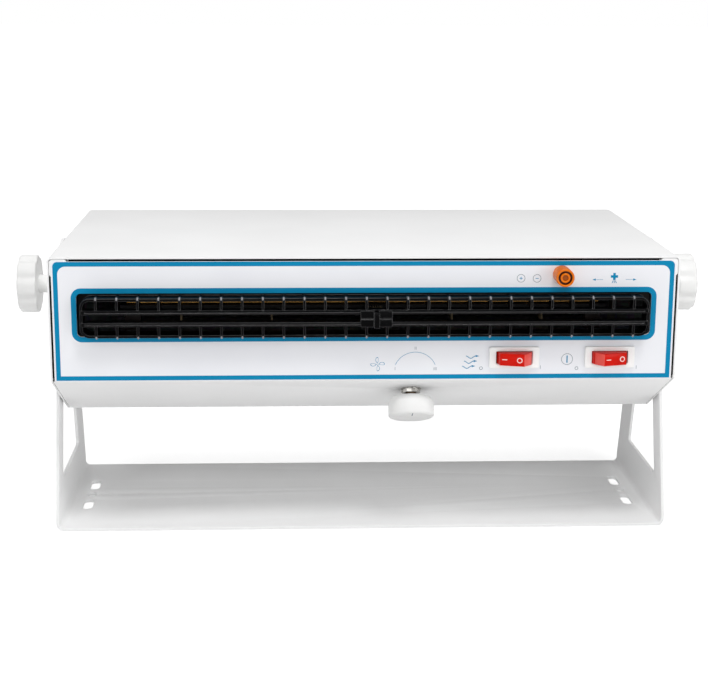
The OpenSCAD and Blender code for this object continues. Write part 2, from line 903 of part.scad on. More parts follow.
// Curved sheet under the impeller that runs forward as the duct's floor
module fan_scroll() {
    c = [fan_y, fan_z];
    turn_off = 225;
    lift = c + scroll_r * [cos(turn_off), sin(turn_off)];
    color("lightgray")
    intersection() {
        across(-duct_hw - duct_t, duct_hw + duct_t)
            sheet_edge(concat(arc(c, scroll_r, 380, turn_off, 20),
                              [[lift[0] - (duct_low - lift[1]), duct_low], [duct_front, duct_low]]), duct_t);
        duct_plan(floor_z, roof_z);
    }
}

// Roof of the duct, which ends in a lip close to the impeller
module fan_tongue() {
    color("lightgray")
    intersection() {
        across(-duct_hw - duct_t, duct_hw + duct_t)
            sheet_edge([[duct_front, duct_high], [fan_y - 8, duct_high], [fan_y + 1, duct_high + 8]], duct_t);
        duct_plan(floor_z, roof_z);
    }
}

module duct_sides() {
    color("lightgray")
    translate([0, 0, duct_low]) linear_extrude(duct_high - duct_low) {
        back = duct_back - duct_t / 2;
        sheet_edge([[fan_right, back], [duct_hw, duct_front]], duct_t);
        sheet_edge([[-duct_hw, duct_front], [fan_left, back]], duct_t);
    }
}

// Cross-flow drum: curved blades between end and middle discs
module impeller() {
    disc = 2;
    inner = fan_r - 7;
    n_mid = 3;
    color("black")
    translate([fan_x0, fan_y, fan_z]) rotate([90, 0, 90]) difference() {
        union() {
            linear_extrude(fan_x1 - fan_x0) for (i = [0 : blades - 1]) rotate(i * 360 / blades)
                sheet_edge([for (k = [0 : 4]) let (r = inner + (fan_r - 0.3 - inner) * k / 4)
                            r * [cos(24 * pow(k / 4, 2)), sin(24 * pow(k / 4, 2))]], 0.8);
            for (z = [0, fan_x1 - fan_x0 - disc]) translate([0, 0, z]) cylinder(r = fan_r, h = disc);
            for (k = [1 : n_mid]) translate([0, 0, k * (fan_x1 - fan_x0) / (n_mid + 1)])
                difference() {
                    cylinder(r = fan_r, h = 1.2);
                    translate([0, 0, -1]) cylinder(r = inner - 2, h = 4);
                }
            for (z = [0, fan_x1 - fan_x0 - 12]) translate([0, 0, z]) cylinder(r = 8, h = 12);
        }
        translate([0, 0, -1]) cylinder(r = shaft_r + thread_gap, h = fan_x1 - fan_x0 + 2);
    }
}

module fan_shaft() {
    color("silver")
    rod_x(shaft_r, fan_left - 8, motor_x + stack_t + 12, fan_y, fan_z);
}

module shaft_bush() {
    color("peru")
    difference() {
        rod_x(5, fan_left - 6, fan_left + 2, fan_y, fan_z);
        rod_x(shaft_r + run_gap, fan_left - 7, fan_left + 3, fan_y, fan_z);
    }
}

// Rubber ring that holds the bush in the left fan plate
module bush_mount() {
    color("black")
    translate([fan_left, fan_y, fan_z]) rotate([0, 90, 0]) rotate_extrude()
        polygon([[5, -4], [7, -4], [10, -2.5], [10, -duct_t], [8, -duct_t], [8, 0], [9.5, 0],
                 [9.5, 1], [5, 1]]);
}

// Laminated stator of the shaded-pole motor, with its winding on the lower limb
module motor_core() {
    color("slategray")
    difference() {
        box([motor_x, fan_y - core_hw, fan_z - core_low],
            [motor_x + stack_t, fan_y + core_hw, fan_z + core_high]);
        rod_x(bore_r, motor_x - 1, motor_x + stack_t + 1, fan_y, fan_z);
        box([motor_x - 1, fan_y - 18, fan_z - core_low + 10],
            [motor_x + stack_t + 1, fan_y + 18, fan_z - bore_r - 6]);
    }
}

module motor_coil() {
    over = 6;
    color("firebrick")
    difference() {
        box([motor_x - over, fan_y - 17.5, fan_z - core_low - over],
            [motor_x + stack_t + over, fan_y + 17.5, fan_z - bore_r - 8]);
        box([motor_x, fan_y - 20, fan_z - core_low], [motor_x + stack_t, fan_y + 20, fan_z - core_low + 10]);
    }
}

module motor_rotor() {
    color("silver")
    difference() {
        rod_x(bore_r - air_gap, motor_x - 1, motor_x + stack_t + 1, fan_y, fan_z);
        rod_x(shaft_r + thread_gap, motor_x - 2, motor_x + stack_t + 2, fan_y, fan_z);
    }
}

// Strap across each face of the stator, with a bearing boss for the shaft
module motor_bracket() {
    reach = 8;
    t = 1.5;
    color("silver")
    difference() {
        union() {
            box([-reach, -core_hw + 2, -7], [-reach + t, core_hw - 2, 7]);
            for (s = [-1, 1])
                box([-reach, s * (core_hw - 3.5) - 1.5, -7], [0, s * (core_hw - 3.5) + 1.5, 7]);
            rod_x(6, -reach, -3);
        }
        rod_x(shaft_r + run_gap, -reach - 1, 1);
    }
}

module motor_brackets() {
    translate([motor_x, fan_y, fan_z]) motor_bracket();
    translate([motor_x + stack_t, fan_y, fan_z]) mirror([1, 0, 0]) motor_bracket();
}

// --- Electronics ---------------------------------------------------------

// Potted high-voltage supply with two mounting ears
module hv_module() {
    p = [module_at[0], module_at[1], tray_z];
    color("black") {
        box(p, p + module_size);
        for (x = [-9, module_size[0]])
            translate([x, module_size[1] / 2 - 8, 0]) translate(p) difference() {
                cube([9, 16, 3]);
                translate([4.5, 8, -1]) cylinder(r = 1.7, h = 5);
            }
    }
}

module board_corners() {
    for (x = [4, board_size[0] - 4], y = [4, board_size[1] - 4])
        translate([board_at[0] + x, board_at[1] + y, tray_z]) children();
}

module power_board() {
    color("darkgreen")
    difference() {
        translate([board_at[0], board_at[1], tray_z + spacer_h])
            cube([board_size[0], board_size[1], board_t]);
        board_corners() cylinder(r = 1.6, h = 20);
    }
}

module board_spacers() {
    color("goldenrod")
    board_corners() {
        cylinder(r = 2.8, h = spacer_h, $fn = 6);
        cylinder(r = 1.5, h = spacer_h + board_t + 1);
        translate([0, 0, spacer_h + board_t]) cylinder(r = 2.6, h = 1.6);
    }
}

// Capacitors, relay, heat-sunk triac and terminal strip
module board_parts() {
    color("navy")
    translate([board_at[0], board_at[1], tray_z + spacer_h + board_t]) {
        for (x = [14, 26]) translate([x, 14, 0]) cylinder(r = 5, h = 12);
        translate([10, 28, 0]) cube([18, 15, 13]);
        translate([40, 12, 0]) cube([3, 30, 13]);
        translate([43, 22, 1]) cube([4, 10, 11]);
        for (i = [0 : 5]) translate([board_size[0] - 38 + i * 5, board_size[1] - 12, 0]) cube([4.6, 8, 9]);
        translate([board_size[0] - 32, 14, 0]) cube([14, 8, 10]);
    }
}

// --- Controls ------------------------------------------------------------

// Places children on the rocker's pivot axis, just behind the bezel's front
module at_rocker() {
    translate([0, overlay_y - bezel_t + rocker_sink, 0]) children();
}

module switch_body() {
    hw = switch_body_w / 2;
    hh = switch_body_h / 2;
    slot = rocker_h / 2 + 0.3;
    color("white")
    difference() {
        union() {
            along_y(overlay_y - bezel_t, overlay_y) rounded_rect(bezel_w, bezel_h, 1.2);
            box([-hw, overlay_y - 0.1, -hh], [hw, face_y + switch_d, hh]);
            for (x = [-9, 0, 9])
                box([x - 0.4, face_y + switch_d, -2.4], [x + 0.4, face_y + switch_d + 8, 2.4]);
        }
        at_rocker() {
            translate([0, 0, -slot]) cylinder(r = rocker_r + rocker_gap, h = 2 * slot);
            translate([0, 0, -slot - 0.8])
                cylinder(r = rocker_pin_r + 0.05, h = 2 * slot + 1.6);
        }
    }
}

// Rocker with a flat face, sloping ends and a pin at each side
module rocker(tilt) {
    color("crimson")
    at_rocker() rotate([0, 0, tilt]) {
        translate([0, 0, -rocker_h / 2]) linear_extrude(rocker_h)
            polygon(concat([[-rocker_face, -rocker_rise], [rocker_face, -rocker_rise]],
                           arc([0, 0], rocker_r, -11, rocker_low, 6),
                           arc([0, 0], rocker_r, 180 - rocker_low, 191, 6)));
        cylinder(r = rocker_pin_r, h = rocker_h + 1.8, center = true);
    }
}

module heat_switch_body() { translate([heat_switch_x, 0, switch_z]) switch_body(); }
module power_switch_body() { translate([power_switch_x, 0, switch_z]) switch_body(); }
module heat_rocker() { translate([heat_switch_x, 0, switch_z]) rocker(-rocker_tilt); }
module power_rocker() { translate([power_switch_x, 0, switch_z]) rocker(rocker_tilt); }

// Lamp holder behind the panel
module lamp_body() {
    r = lamp_r - 0.1;
    color("dimgray")
    translate([lamp_x, 0, lamp_z]) difference() {
        union() {
            rod_y(r, overlay_y, face_y + 20);
            rod_y(r + 0.2, face_y + chassis_t, face_y + 16);
            for (x = [-2, 2]) box([x - 0.3, face_y + 20, -1], [x + 0.3, face_y + 27, 1]);
        }
        rod_y(2.2, overlay_y - 1, face_y + 12);
    }
}

// Amber lens: a rim against the panel, a ribbed barrel and a ringed front
module lamp_lens() {
    r = lens_d / 2;
    l = lens_l;
    color("darkorange")
    translate([lamp_x, overlay_y, lamp_z]) rotate([90, 0, 0]) rotate_extrude()
        polygon([[0, -8], [2.1, -8], [2.1, 0], [r - 0.6, 0], [r - 0.6, 1.2], [r - 0.9, 1.6], [r - 0.7, l - 2.4],
                 [r, l - 1.8], [r, l - 0.6], [r - 0.6, l], [r - 2, l], [r - 2.3, l - 0.7], [r - 3.2, l - 0.7],
                 [r - 3.6, l - 0.1], [0, l - 0.1]]);
}

module speed_pot() {
    color("slategray")
    on_slope() difference() {
        union() {
            translate([0, 0, -chassis_t - 10]) cylinder(r = 8.5, h = 10);
            translate([0, 0, -chassis_t - 1]) cylinder(r = bushing_r, h = chassis_t + 1 + 3.6);
            translate([-5, -13, -chassis_t - 8]) cube([10, 6, 1.5]);
        }
        translate([0, 0, -chassis_t - 8.5]) cylinder(r = spindle_r + run_gap, h = 20);
    }
}

// Washer and hexagon nut that clamp the control to the sloping front
module pot_nut() {
    color("silver")
    on_slope() difference() {
        union() {
            cylinder(r = 6.8, h = 0.8);
            translate([0, 0, 0.8]) cylinder(r = 6.3, h = 2.2, $fn = 6);
        }
        translate([0, 0, -1]) cylinder(r = bushing_r + thread_gap, h = 6);
    }
}

module pot_spindle() {
    color("silver")
    on_slope() translate([0, 0, -chassis_t - 8]) cylinder(r = spindle_r, h = chassis_t + 8 + speed_gap + 9);
}

module speed_knob() {
    r = speed_d / 2;
    l = speed_l;
    color("white")
    on_slope() translate([0, 0, speed_gap]) difference() {
        rotate_extrude() polygon(concat([[0, 0]], arc([r - 4, 4], 4, 270, 360, 8),
                                        [[r - 0.3, l - 1], [r - 1.3, l], [0, l]]));
        translate([0, 0, -1]) cylinder(r = spindle_r, h = 10);
    }
}

// --- Rear fittings -------------------------------------------------------

// Three-pin appliance inlet with a fuse drawer below the socket
module inlet_body() {
    front = rear_y + inlet_flange[2];
    color("black")
    difference() {
        union() {
            translate([inlet_x, 0, inlet_z]) along_y(rear_y, front)
                rounded_rect(inlet_flange[0], inlet_flange[1], 4);
            box([inlet_x - inlet_w / 2, rear_y - inlet_depth, inlet_z - inlet_h / 2],
                [inlet_x + inlet_w / 2, rear_y, inlet_z + inlet_h / 2]);
        }
        translate([inlet_x, 0, socket_z]) along_y(front - socket_d, front + 1)
            polygon([[-socket_w / 2, -socket_h / 2], [socket_w / 2, -socket_h / 2],
                     [socket_w / 2, socket_h / 2 - 4], [socket_w / 2 - 4, socket_h / 2],
                     [-socket_w / 2 + 4, socket_h / 2], [-socket_w / 2, socket_h / 2 - 4]]);
        box([inlet_x - drawer_w / 2 - fit_gap, front - drawer_d - fit_gap, drawer_z - drawer_h / 2 - fit_gap],
            [inlet_x + drawer_w / 2 + fit_gap, front + 1, drawer_z + drawer_h / 2 + fit_gap]);
        for (x = [-1, 1])
            rod_y(m3_r + thread_gap, rear_y - 1, front + 1, inlet_x + x * inlet_screw_x, inlet_z);
    }
}

module inlet_pins() {
    front = rear_y + inlet_flange[2];
    color("silver")
    for (p = [[-7, -0.8], [7, -0.8], [0, 3.2]])
        translate([inlet_x + p[0], 0, socket_z + p[1]]) {
            box([-1, front - socket_d, -2], [1, front - 3.5, 2]);
            box([-0.4, rear_y - inlet_depth - 8, -2], [0.4, rear_y - inlet_depth, 2]);
        }
}

module inlet_screws() {
    color("silver")
    for (x = [-1, 1]) translate([inlet_x + x * inlet_screw_x, rear_y + inlet_flange[2], inlet_z])
        pan_screw(8);
}

// Pan-head screw whose head sits on the plane y = 0 and points to the rear
module pan_screw(l) {
    difference() {
        rotate([90, 0, 0]) translate([0, 0, -2]) union() {
            cylinder(r1 = m3_head - 0.7, r2 = m3_head, h = 0.7);
            translate([0, 0, 0.7]) cylinder(r = m3_head, h = 1.3);
            cylinder(r = m3_r, h = l + 2);
        }
        for (a = [0, 90]) rotate([0, a, 0]) translate([0, 2, 0]) cube([3.2, 2, 0.7], center = true);
    }
}

// Drawer that pulls out to the rear with the fuse lying across it
module fuse_drawer() {
    front = rear_y + inlet_flange[2];
    color("black")
    difference() {
        union() {
            box([inlet_x - drawer_w / 2, front - drawer_d, drawer_z - drawer_h / 2],
                [inlet_x + drawer_w / 2, front, drawer_z + drawer_h / 2]);
            box([inlet_x - drawer_w / 2, front, drawer_z - drawer_h / 2],
                [inlet_x + drawer_w / 2, front + 1.6, drawer_z + drawer_h / 2]);
        }
        box([inlet_x - 10.2, front - drawer_d + 3, drawer_z - 2.6],
            [inlet_x + 10.2, front - drawer_d + 10, drawer_z + drawer_h]);
    }
}

module fuse() {
    y = rear_y + inlet_flange[2] - drawer_d + 6.5;
    color("gainsboro") {
        rod_x(2.3, inlet_x - 10, inlet_x + 10, y, drawer_z);
        for (s = [-1, 1]) rod_x(2.6, inlet_x + s * 7.5 - 2.5, inlet_x + s * 7.5 + 2.5, y, drawer_z);
    }
}

module guard_screw_places() {
    for (x = [-1, 1], z = [-1, 1])
        translate([intake_x + x * (intake_w / 2 + 4), intake_z + z * (intake_h / 2 + 3)]) children();
}

module intake_filter() {
    color("dimgray")
    box([intake_x - intake_w / 2 + 0.5, rear_y - 7, intake_z - intake_h / 2 + 0.5],
        [intake_x + intake_w / 2 - 0.5, rear_y, intake_z + intake_h / 2 - 0.5]);
}

// Slotted plate over the filter
module intake_guard() {
    cols = 5;
    slot_h = 4.5;
    bar = 3.5;
    rows = floor((intake_h - 4) / (slot_h + bar));
    col_w = (intake_w - 10) / cols;
    color("white")
    along_y(rear_y, rear_y + guard_plate_t) difference() {
        translate([intake_x, intake_z]) rounded_rect(intake_w + 2 * intake_rim, intake_h + 14, 3);
        for (i = [0 : cols - 1], k = [0 : rows - 1])
            translate([intake_x + (i - (cols - 1) / 2) * col_w,
                       intake_z + (k - (rows - 1) / 2) * (slot_h + bar)])
                rounded_rect(col_w - 6, slot_h, slot_h / 2 - 0.01);
        guard_screw_places() circle(r = m3_r + 0.1);
    }
}

module guard_screws() {
    color("silver")
    for (x = [-1, 1], z = [-1, 1])
        translate([intake_x + x * (intake_w / 2 + 4), rear_y + guard_plate_t,
                   intake_z + z * (intake_h / 2 + 3)]) pan_screw(7);
}

// Earth post with a knurled nut
module ground_post() {
    color("goldenrod")
    translate([inlet_x, 0, ground_z]) {
        rod_y(2, rear_y - 8, rear_y + 12);
        rod_y(3.6, rear_y - 3.6, rear_y - chassis_t);
        rod_y(3.6, rear_y, rear_y + 2);
        difference() {
            rod_y(4.5, rear_y + 3, rear_y + 9);
            for (i = [0 : 23]) rotate([0, i * 15, 0]) box([4.2, rear_y + 2, -0.3], [5, rear_y + 10, 0.3]);
        }
    }
}

stand_bracket();
chassis();
top_cover();
cover_screws();
panel_overlay();
border_print();
pivot_plate_left();
pivot_plate_right();
friction_washers();
side_knob_left();
side_stud_left();
side_knob_right();
side_stud_right();
outlet_guard();
guard_nuts();
cleaner_slider();
cleaner_brush();
emitter_bar();
emitter_bus();
emitter_points();
emitter_posts();
heater_boards();
heater_wires();
thermal_cutout();
fan_plate_left();
fan_plate_right();
fan_scroll();
fan_tongue();
duct_sides();
impeller();
fan_shaft();
shaft_bush();
bush_mount();
motor_core();
motor_coil();
motor_rotor();
motor_brackets();
hv_module();
power_board();
board_parts();
board_spacers();
heat_switch_body();
heat_rocker();
power_switch_body();
power_rocker();
lamp_body();
lamp_lens();
speed_pot();
pot_nut();
pot_spindle();
speed_knob();
inlet_body();
inlet_pins();
inlet_screws();
fuse_drawer();
fuse();
intake_filter();
intake_guard();
guard_screws();
ground_post();
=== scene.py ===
import json
import math

import bpy
from mathutils import Matrix, Vector


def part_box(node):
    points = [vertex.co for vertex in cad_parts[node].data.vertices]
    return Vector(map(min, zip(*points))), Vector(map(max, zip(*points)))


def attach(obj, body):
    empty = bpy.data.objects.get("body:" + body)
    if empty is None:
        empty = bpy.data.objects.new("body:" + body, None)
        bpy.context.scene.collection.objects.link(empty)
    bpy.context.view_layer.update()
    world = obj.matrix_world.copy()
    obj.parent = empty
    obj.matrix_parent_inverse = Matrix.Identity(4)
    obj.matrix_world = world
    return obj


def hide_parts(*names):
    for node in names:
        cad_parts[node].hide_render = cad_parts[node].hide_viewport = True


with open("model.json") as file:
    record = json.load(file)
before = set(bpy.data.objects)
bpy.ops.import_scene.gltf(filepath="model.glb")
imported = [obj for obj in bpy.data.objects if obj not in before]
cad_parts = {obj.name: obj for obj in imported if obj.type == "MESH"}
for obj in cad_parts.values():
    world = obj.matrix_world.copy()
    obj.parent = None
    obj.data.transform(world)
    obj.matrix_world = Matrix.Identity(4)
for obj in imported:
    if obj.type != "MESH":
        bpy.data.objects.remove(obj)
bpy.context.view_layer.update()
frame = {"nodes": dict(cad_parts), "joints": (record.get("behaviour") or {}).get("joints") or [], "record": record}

# --- Camera, light and floor ---------------------------------------------
# A long lens stands a little left of the middle, about a metre away and above the work.
# Large soft lamps light the blower from the front, both sides and the top, on a white floor.
MM = 0.001
CAMERA_AT = Vector((-50.88, -1061.07, 351.21)) * MM
CAMERA_YAW, CAMERA_PITCH, CAMERA_ROLL = 0.0449, 0.2249, 0.0053
SENSOR_MM = 36.0
FOCAL_MM = 79.24


def aim(yaw, pitch, roll):
    """The camera's turn: yaw to the right, pitch down and roll about its own axis."""
    ahead = Vector((math.sin(yaw) * math.cos(pitch), math.cos(yaw) * math.cos(pitch), -math.sin(pitch)))
    side = Vector((math.cos(yaw), -math.sin(yaw), 0.0))
    up = side.cross(ahead)
    right = side * math.cos(roll) + up * math.sin(roll)
    top = up * math.cos(roll) - side * math.sin(roll)
    return Matrix((right, top, -ahead)).transposed()


camera_data = bpy.data.cameras.new("camera")
camera = bpy.data.objects.new("camera", camera_data)
bpy.context.scene.collection.objects.link(camera)
camera_data.sensor_width = SENSOR_MM
camera_data.lens = FOCAL_MM
camera_data.clip_start = 0.05
camera_data.clip_end = 60.0
camera.matrix_world = Matrix.Translation(CAMERA_AT) @ aim(CAMERA_YAW, CAMERA_PITCH, CAMERA_ROLL).to_4x4()
bpy.context.scene.camera = camera
bpy.context.scene.view_settings.view_transform = "Standard"


def add(tree, kind, settings=None, links=None):
    """Adds one shader node. Settings go by property or input, links by input."""
    made = tree.nodes.new("ShaderNode" + kind)
    for name, value in (settings or {}).items():
        if isinstance(name, int) or name in made.inputs:
            made.inputs[name].default_value = value
        else:
            setattr(made, name, value)
    for name, socket in (links or {}).items():
        tree.links.new(made.inputs[name], socket)
    return made


def seen_directly(tree):
    """1 for what the camera sees directly, in a reflection or through glass, else 0."""
    path = add(tree, "LightPath")
    mirror = add(tree, "Math", {"operation": "MAXIMUM"},
                 {0: path.outputs["Is Glossy Ray"], 1: path.outputs["Is Transmission Ray"]})
    return add(tree, "Math", {"operation": "MAXIMUM"},
               {0: path.outputs["Is Camera Ray"], 1: mirror.outputs[0]}).outputs[0]


world = bpy.data.worlds.new("studio")
bpy.context.scene.world = world
world.use_nodes = True
world.node_tree.nodes.clear()
WORLD_LEVEL = 0.19
strength = add(world.node_tree, "MapRange", {"To Min": WORLD_LEVEL, "To Max": 1.0},
               {"Value": seen_directly(world.node_tree)})
sky = add(world.node_tree, "Background", {"Color": (1.0, 1.0, 1.0, 1.0)}, {"Strength": strength.outputs[0]})
add(world.node_tree, "OutputWorld", links={"Surface": sky.outputs[0]})

# White paper: a dull ground that keeps the blower's shadow and runs out to plain white
floor_paper = bpy.data.materials.new("white paper floor")
floor_paper.use_nodes = True
paper = floor_paper.node_tree
paper.nodes.clear()
FLOOR_LEVEL, FLOOR_GLOW, FAR_GLOW = 0.12, 0.6, 1.0
NEAR_M, FAR_M = 0.6, 2.5
matt = add(paper, "BsdfDiffuse", {"Color": (0.8, 0.8, 0.8, 1.0)})
spot = add(paper, "TexCoord")
away = add(paper, "VectorMath", {"operation": "LENGTH"}, {0: spot.outputs["Object"]})
shown = add(paper, "MapRange",
            {"From Min": NEAR_M, "From Max": FAR_M, "To Min": FLOOR_GLOW, "To Max": FAR_GLOW},
            {"Value": away.outputs["Value"]})
glow = add(paper, "Mix", {"A": FLOOR_LEVEL}, {"Factor": seen_directly(paper), "B": shown.outputs[0]})
shine = add(paper, "Emission", {"Color": (1.0, 1.0, 1.0, 1.0)}, {"Strength": glow.outputs[0]})
both = add(paper, "AddShader", links={0: matt.outputs[0], 1: shine.outputs[0]})
add(paper, "OutputMaterial", links={"Surface": both.outputs[0]})

FLOOR_M, FLOOR_DROP = 30.0, 0.0004
bpy.ops.object.select_all(action="DESELECT")
bpy.ops.mesh.primitive_plane_add(size=FLOOR_M, location=(0.0, 0.0, -FLOOR_DROP))
floor = bpy.context.object
floor.name = "floor"
floor.data.materials.append(floor_paper)

# Each lamp: its name, place and aim and the side of its square in metres, and its power in watts
for name, place, target, size, power in (
        ("front_lamp", (-0.5, -2.6, 1.5), (0.0, 0.0, 0.12), 1.8, 20.0),
        ("low_lamp", (1.5, -1.9, 0.35), (0.0, 0.0, 0.08), 1.0, 10.0),
        ("right_lamp", (2.2, -1.0, 1.0), (0.0, 0.0, 0.12), 1.4, 5.0),
        ("left_lamp", (-2.2, -1.0, 1.0), (0.0, 0.0, 0.12), 1.4, 4.0),
        ("top_lamp", (-0.5, 0.35, 2.4), (0.0, 0.0, 0.15), 2.0, 22.0),
        ("high_lamp", (0.3, -1.2, 2.2), (0.0, -0.1, 0.0), 0.6, 17.5)):
    lamp_data = bpy.data.lights.new(name, "AREA")
    lamp_data.size = size
    lamp_data.energy = power
    lamp = bpy.data.objects.new(name, lamp_data)
    bpy.context.scene.collection.objects.link(lamp)
    lamp.location = place
    lamp.rotation_euler = (Vector(target) - Vector(place)).to_track_quat("-Z", "Y").to_euler()

# --- Bracket -------------------------------------------------------------
# U bracket of 2 mm sheet steel, blanked, bent and powder-coated white.
# Its cut edges are broken by the coating, so each has a small round.
slot_of = {part["node"]: part["material_slot"] for part in frame["record"]["subparts"]}
body_of = {node: body for body, nodes in frame["record"]["behaviour"]["bodies"].items() for node in nodes}


def linear(hex_colour):
    """An sRGB colour such as E8E8E6 as linear RGBA."""
    parts = [int(hex_colour[i:i + 2], 16) / 255.0 for i in (0, 2, 4)]
    return tuple(c / 12.92 if c <= 0.04045 else ((c + 0.055) / 1.055) ** 2.4 for c in parts) + (1.0,)


def surface(name, light, dark, patch_mm, grain_mm, relief_mm, rough, settings=None):
    """A finish whose colour drifts between two tones in patches, over a fine grain.

    Returns the material and its nodes by name, so that a section can add to them."""
    made = bpy.data.materials.new(name)
    made.use_nodes = True
    tree = made.node_tree
    tree.nodes.clear()
    place = add(tree, "TexCoord")
    patches = add(tree, "TexNoise", {"Scale": 1.0 / (patch_mm * MM), "Detail": 3.0},
                  {"Vector": place.outputs["Object"]})
    grain = add(tree, "TexNoise", {"Scale": 1.0 / (grain_mm * MM), "Detail": 4.0},
                {"Vector": place.outputs["Object"]})
    spread = add(tree, "MapRange", {"From Min": 0.3, "From Max": 0.7}, {"Value": patches.outputs["Fac"]})
    tone = add(tree, "Mix", {"data_type": "RGBA", 6: linear(light), 7: linear(dark)},
               {"Factor": spread.outputs[0]})
    dull = add(tree, "MapRange", {"To Min": rough[0], "To Max": rough[1]}, {"Value": grain.outputs["Fac"]})
    bump = add(tree, "Bump", {"Strength": 0.6, "Distance": relief_mm * MM},
               {"Height": grain.outputs["Fac"]})
    shader = add(tree, "BsdfPrincipled", settings,
                 {"Base Color": tone.outputs[2], "Roughness": dull.outputs[0], "Normal": bump.outputs[0]})
    add(tree, "OutputMaterial", links={"Surface": shader.outputs[0]})
    return made, {"tree": tree, "place": place, "tone": tone, "bump": bump, "shader": shader}


def only(piece):
    """Selects one piece and nothing else, and makes it active."""
    bpy.ops.object.select_all(action="DESELECT")
    piece.select_set(True)
    bpy.context.view_layer.objects.active = piece


def fit(piece, material, body, slot, *stands_for):
    """Gives a finished piece its material and body, and hides the CAD nodes it stands for; its slot is not used.
    """
    piece.data.materials.clear()
    piece.data.materials.append(material)
    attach(piece, body)
    if stands_for:
        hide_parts(*stands_for)


MERGE_MM, FLAT_TURN, SMOOTH_TURN = 0.002, 0.4, 35.0


def softened(node, edge_mm, material, steps=2, sharp=30.0, edge_material=None):
    """A copy of a node whose sharp edges are rounded, as moulding or coating leaves them.

    The rounded edges can have a material of their own, such as a painted highlight."""
    piece = bpy.data.objects.new(node + "_finished", frame["nodes"][node].data.copy())
    bpy.context.scene.collection.objects.link(piece)
    only(piece)
    bpy.ops.mesh.customdata_custom_splitnormals_clear()
    bpy.ops.object.mode_set(mode="EDIT")
    bpy.ops.mesh.select_all(action="SELECT")
    bpy.ops.mesh.remove_doubles(threshold=MERGE_MM * MM)
    bpy.ops.mesh.dissolve_limited(angle_limit=math.radians(FLAT_TURN))
    bpy.ops.object.mode_set(mode="OBJECT")
    bevel = piece.modifiers.new("rounded edges", "BEVEL")
    bevel.width = edge_mm * MM
    bevel.segments = steps
    bevel.limit_method = "ANGLE"
    bevel.angle_limit = math.radians(sharp)
    if edge_material:
        piece.data.materials.append(edge_material)
        bevel.material = 1
    bpy.ops.object.modifier_apply(modifier=bevel.name)
    bpy.ops.object.shade_smooth_by_angle(angle=math.radians(SMOOTH_TURN))
    own_finish = [face.material_index for face in piece.data.polygons]
    fit(piece, material, body_of[node], slot_of[node], node)
    if edge_material:
        piece.data.materials.append(edge_material)
        for face, index in zip(piece.data.polygons, own_finish):
            face.material_index = index
    return piece


def dress(material, *nodes):
    """Gives carried-over nodes a better material in their own slots."""
    for node in nodes:
        for own in frame["nodes"][node].material_slots:
            own.material = material


# Polyester powder coat, baked: white and matt, with a fine orange peel of about 2 mm
powder_coat, _ = surface("white powder coat", "F6F6F6", "F2F2F2", 90.0, 2.2, 0.012, (0.62, 0.72),
                         {"IOR": 1.5, "Specular IOR Level": 0.1})
softened("stand_bracket", 0.4, powder_coat)

# --- Housing -------------------------------------------------------------
# Folded steel chassis and a three-sided cover, both powder-coated like the bracket.
# The slotted plate over the intake is cut from the same sheet.
softened("top_cover", 0.25, powder_coat)
softened("chassis", 0.25, powder_coat)
softened("intake_guard", 0.3, powder_coat)

# --- Seam strips ---------------------------------------------------------
# Thin black strips fill the gap between the cover and the front panel from within, as painted shade for the open
# seam.
# They stand along the panel's edge, a little behind its face.

# Dead black strips: painted shade standing in for the dark inside the open seam
seam_shade_black, _ = surface("black strip of painted seam shade", "060607", "030303", 5.0, 0.4, 0.05, (0.8, 0.9),
                        {"IOR": 1.4, "Specular IOR Level": 0.1})
panel_low, panel_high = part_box("panel_overlay")
STRIP_IN, STRIP_DEEP, STRIP_EASE = 0.7, 1.2, 0.04
CORNER, SEAM = 13.0, 1.3
TOP_LAP, FOOT_UP, HEAD_DOWN = 2.0, 2.0, 9.0
COVER_MM, GAP, FLOOR_FOLD_Y = 1.2, 0.3, -24.0
SLOPE_SHORT, SLOPE_IN = 3.0, 0.15
cover_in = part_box("top_cover")[1].x / MM - COVER_MM
strip_y = panel_low.y / MM + STRIP_IN
back_y = strip_y + STRIP_DEEP
foot_z = panel_low.z / MM + FOOT_UP
top_z = panel_high.z / MM
side_x = panel_high.x / MM
top_x = side_x - CORNER + TOP_LAP


def block(size, middle, turn=(0.0, 0.0, 0.0)):
    """A plain box of the given size about its middle, both in mm."""
    bpy.ops.object.select_all(action="DESELECT")
    bpy.ops.mesh.primitive_cube_add(size=1.0, scale=[length * MM for length in size],
                                    location=[place * MM for place in middle], rotation=turn)
    bpy.ops.object.transform_apply(location=True, rotation=True, scale=True)
    return bpy.context.object


def joined(name, pieces):
    """Joins pieces to the first of them and names the whole."""
    only(pieces[0])
    for piece in pieces[1:]:
        piece.select_set(True)
    bpy.ops.object.join()
    pieces[0].name = name
    return pieces[0]


strip_boxes = [((-top_x, strip_y, top_z), (top_x, back_y, top_z + SEAM))]
for side in (-1, 1):
    edges = sorted((side * side_x, side * (side_x + SEAM)))
    strip_boxes.append(((edges[0], strip_y, foot_z), (edges[1], back_y, top_z - HEAD_DOWN)))
strips = []
for low, high in strip_boxes:
    size = [h - l - 2 * STRIP_EASE for l, h in zip(low, high)]
    strips.append(block(size, [(l + h) / 2 for l, h in zip(low, high)]))
front_foot = Vector((0.0, panel_low.y, panel_low.z)) / MM
floor_edge = Vector((0.0, FLOOR_FOLD_Y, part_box("top_cover")[0].z / MM))
slope = floor_edge - front_foot
lean = math.atan2(slope.z, slope.y)
inwards = Vector((0.0, -math.sin(lean), math.cos(lean)))
middle = (front_foot + floor_edge) / 2 + inwards * (STRIP_DEEP / 2 + SLOPE_IN)
for side in (-1, 1):
    strips.append(block((GAP, slope.length - SLOPE_SHORT, STRIP_DEEP),
                        (side * (cover_in - GAP / 2), middle.y, middle.z), turn=(lean, 0.0, 0.0)))
seam_shade_strips = joined("seam_shade_strips", strips)
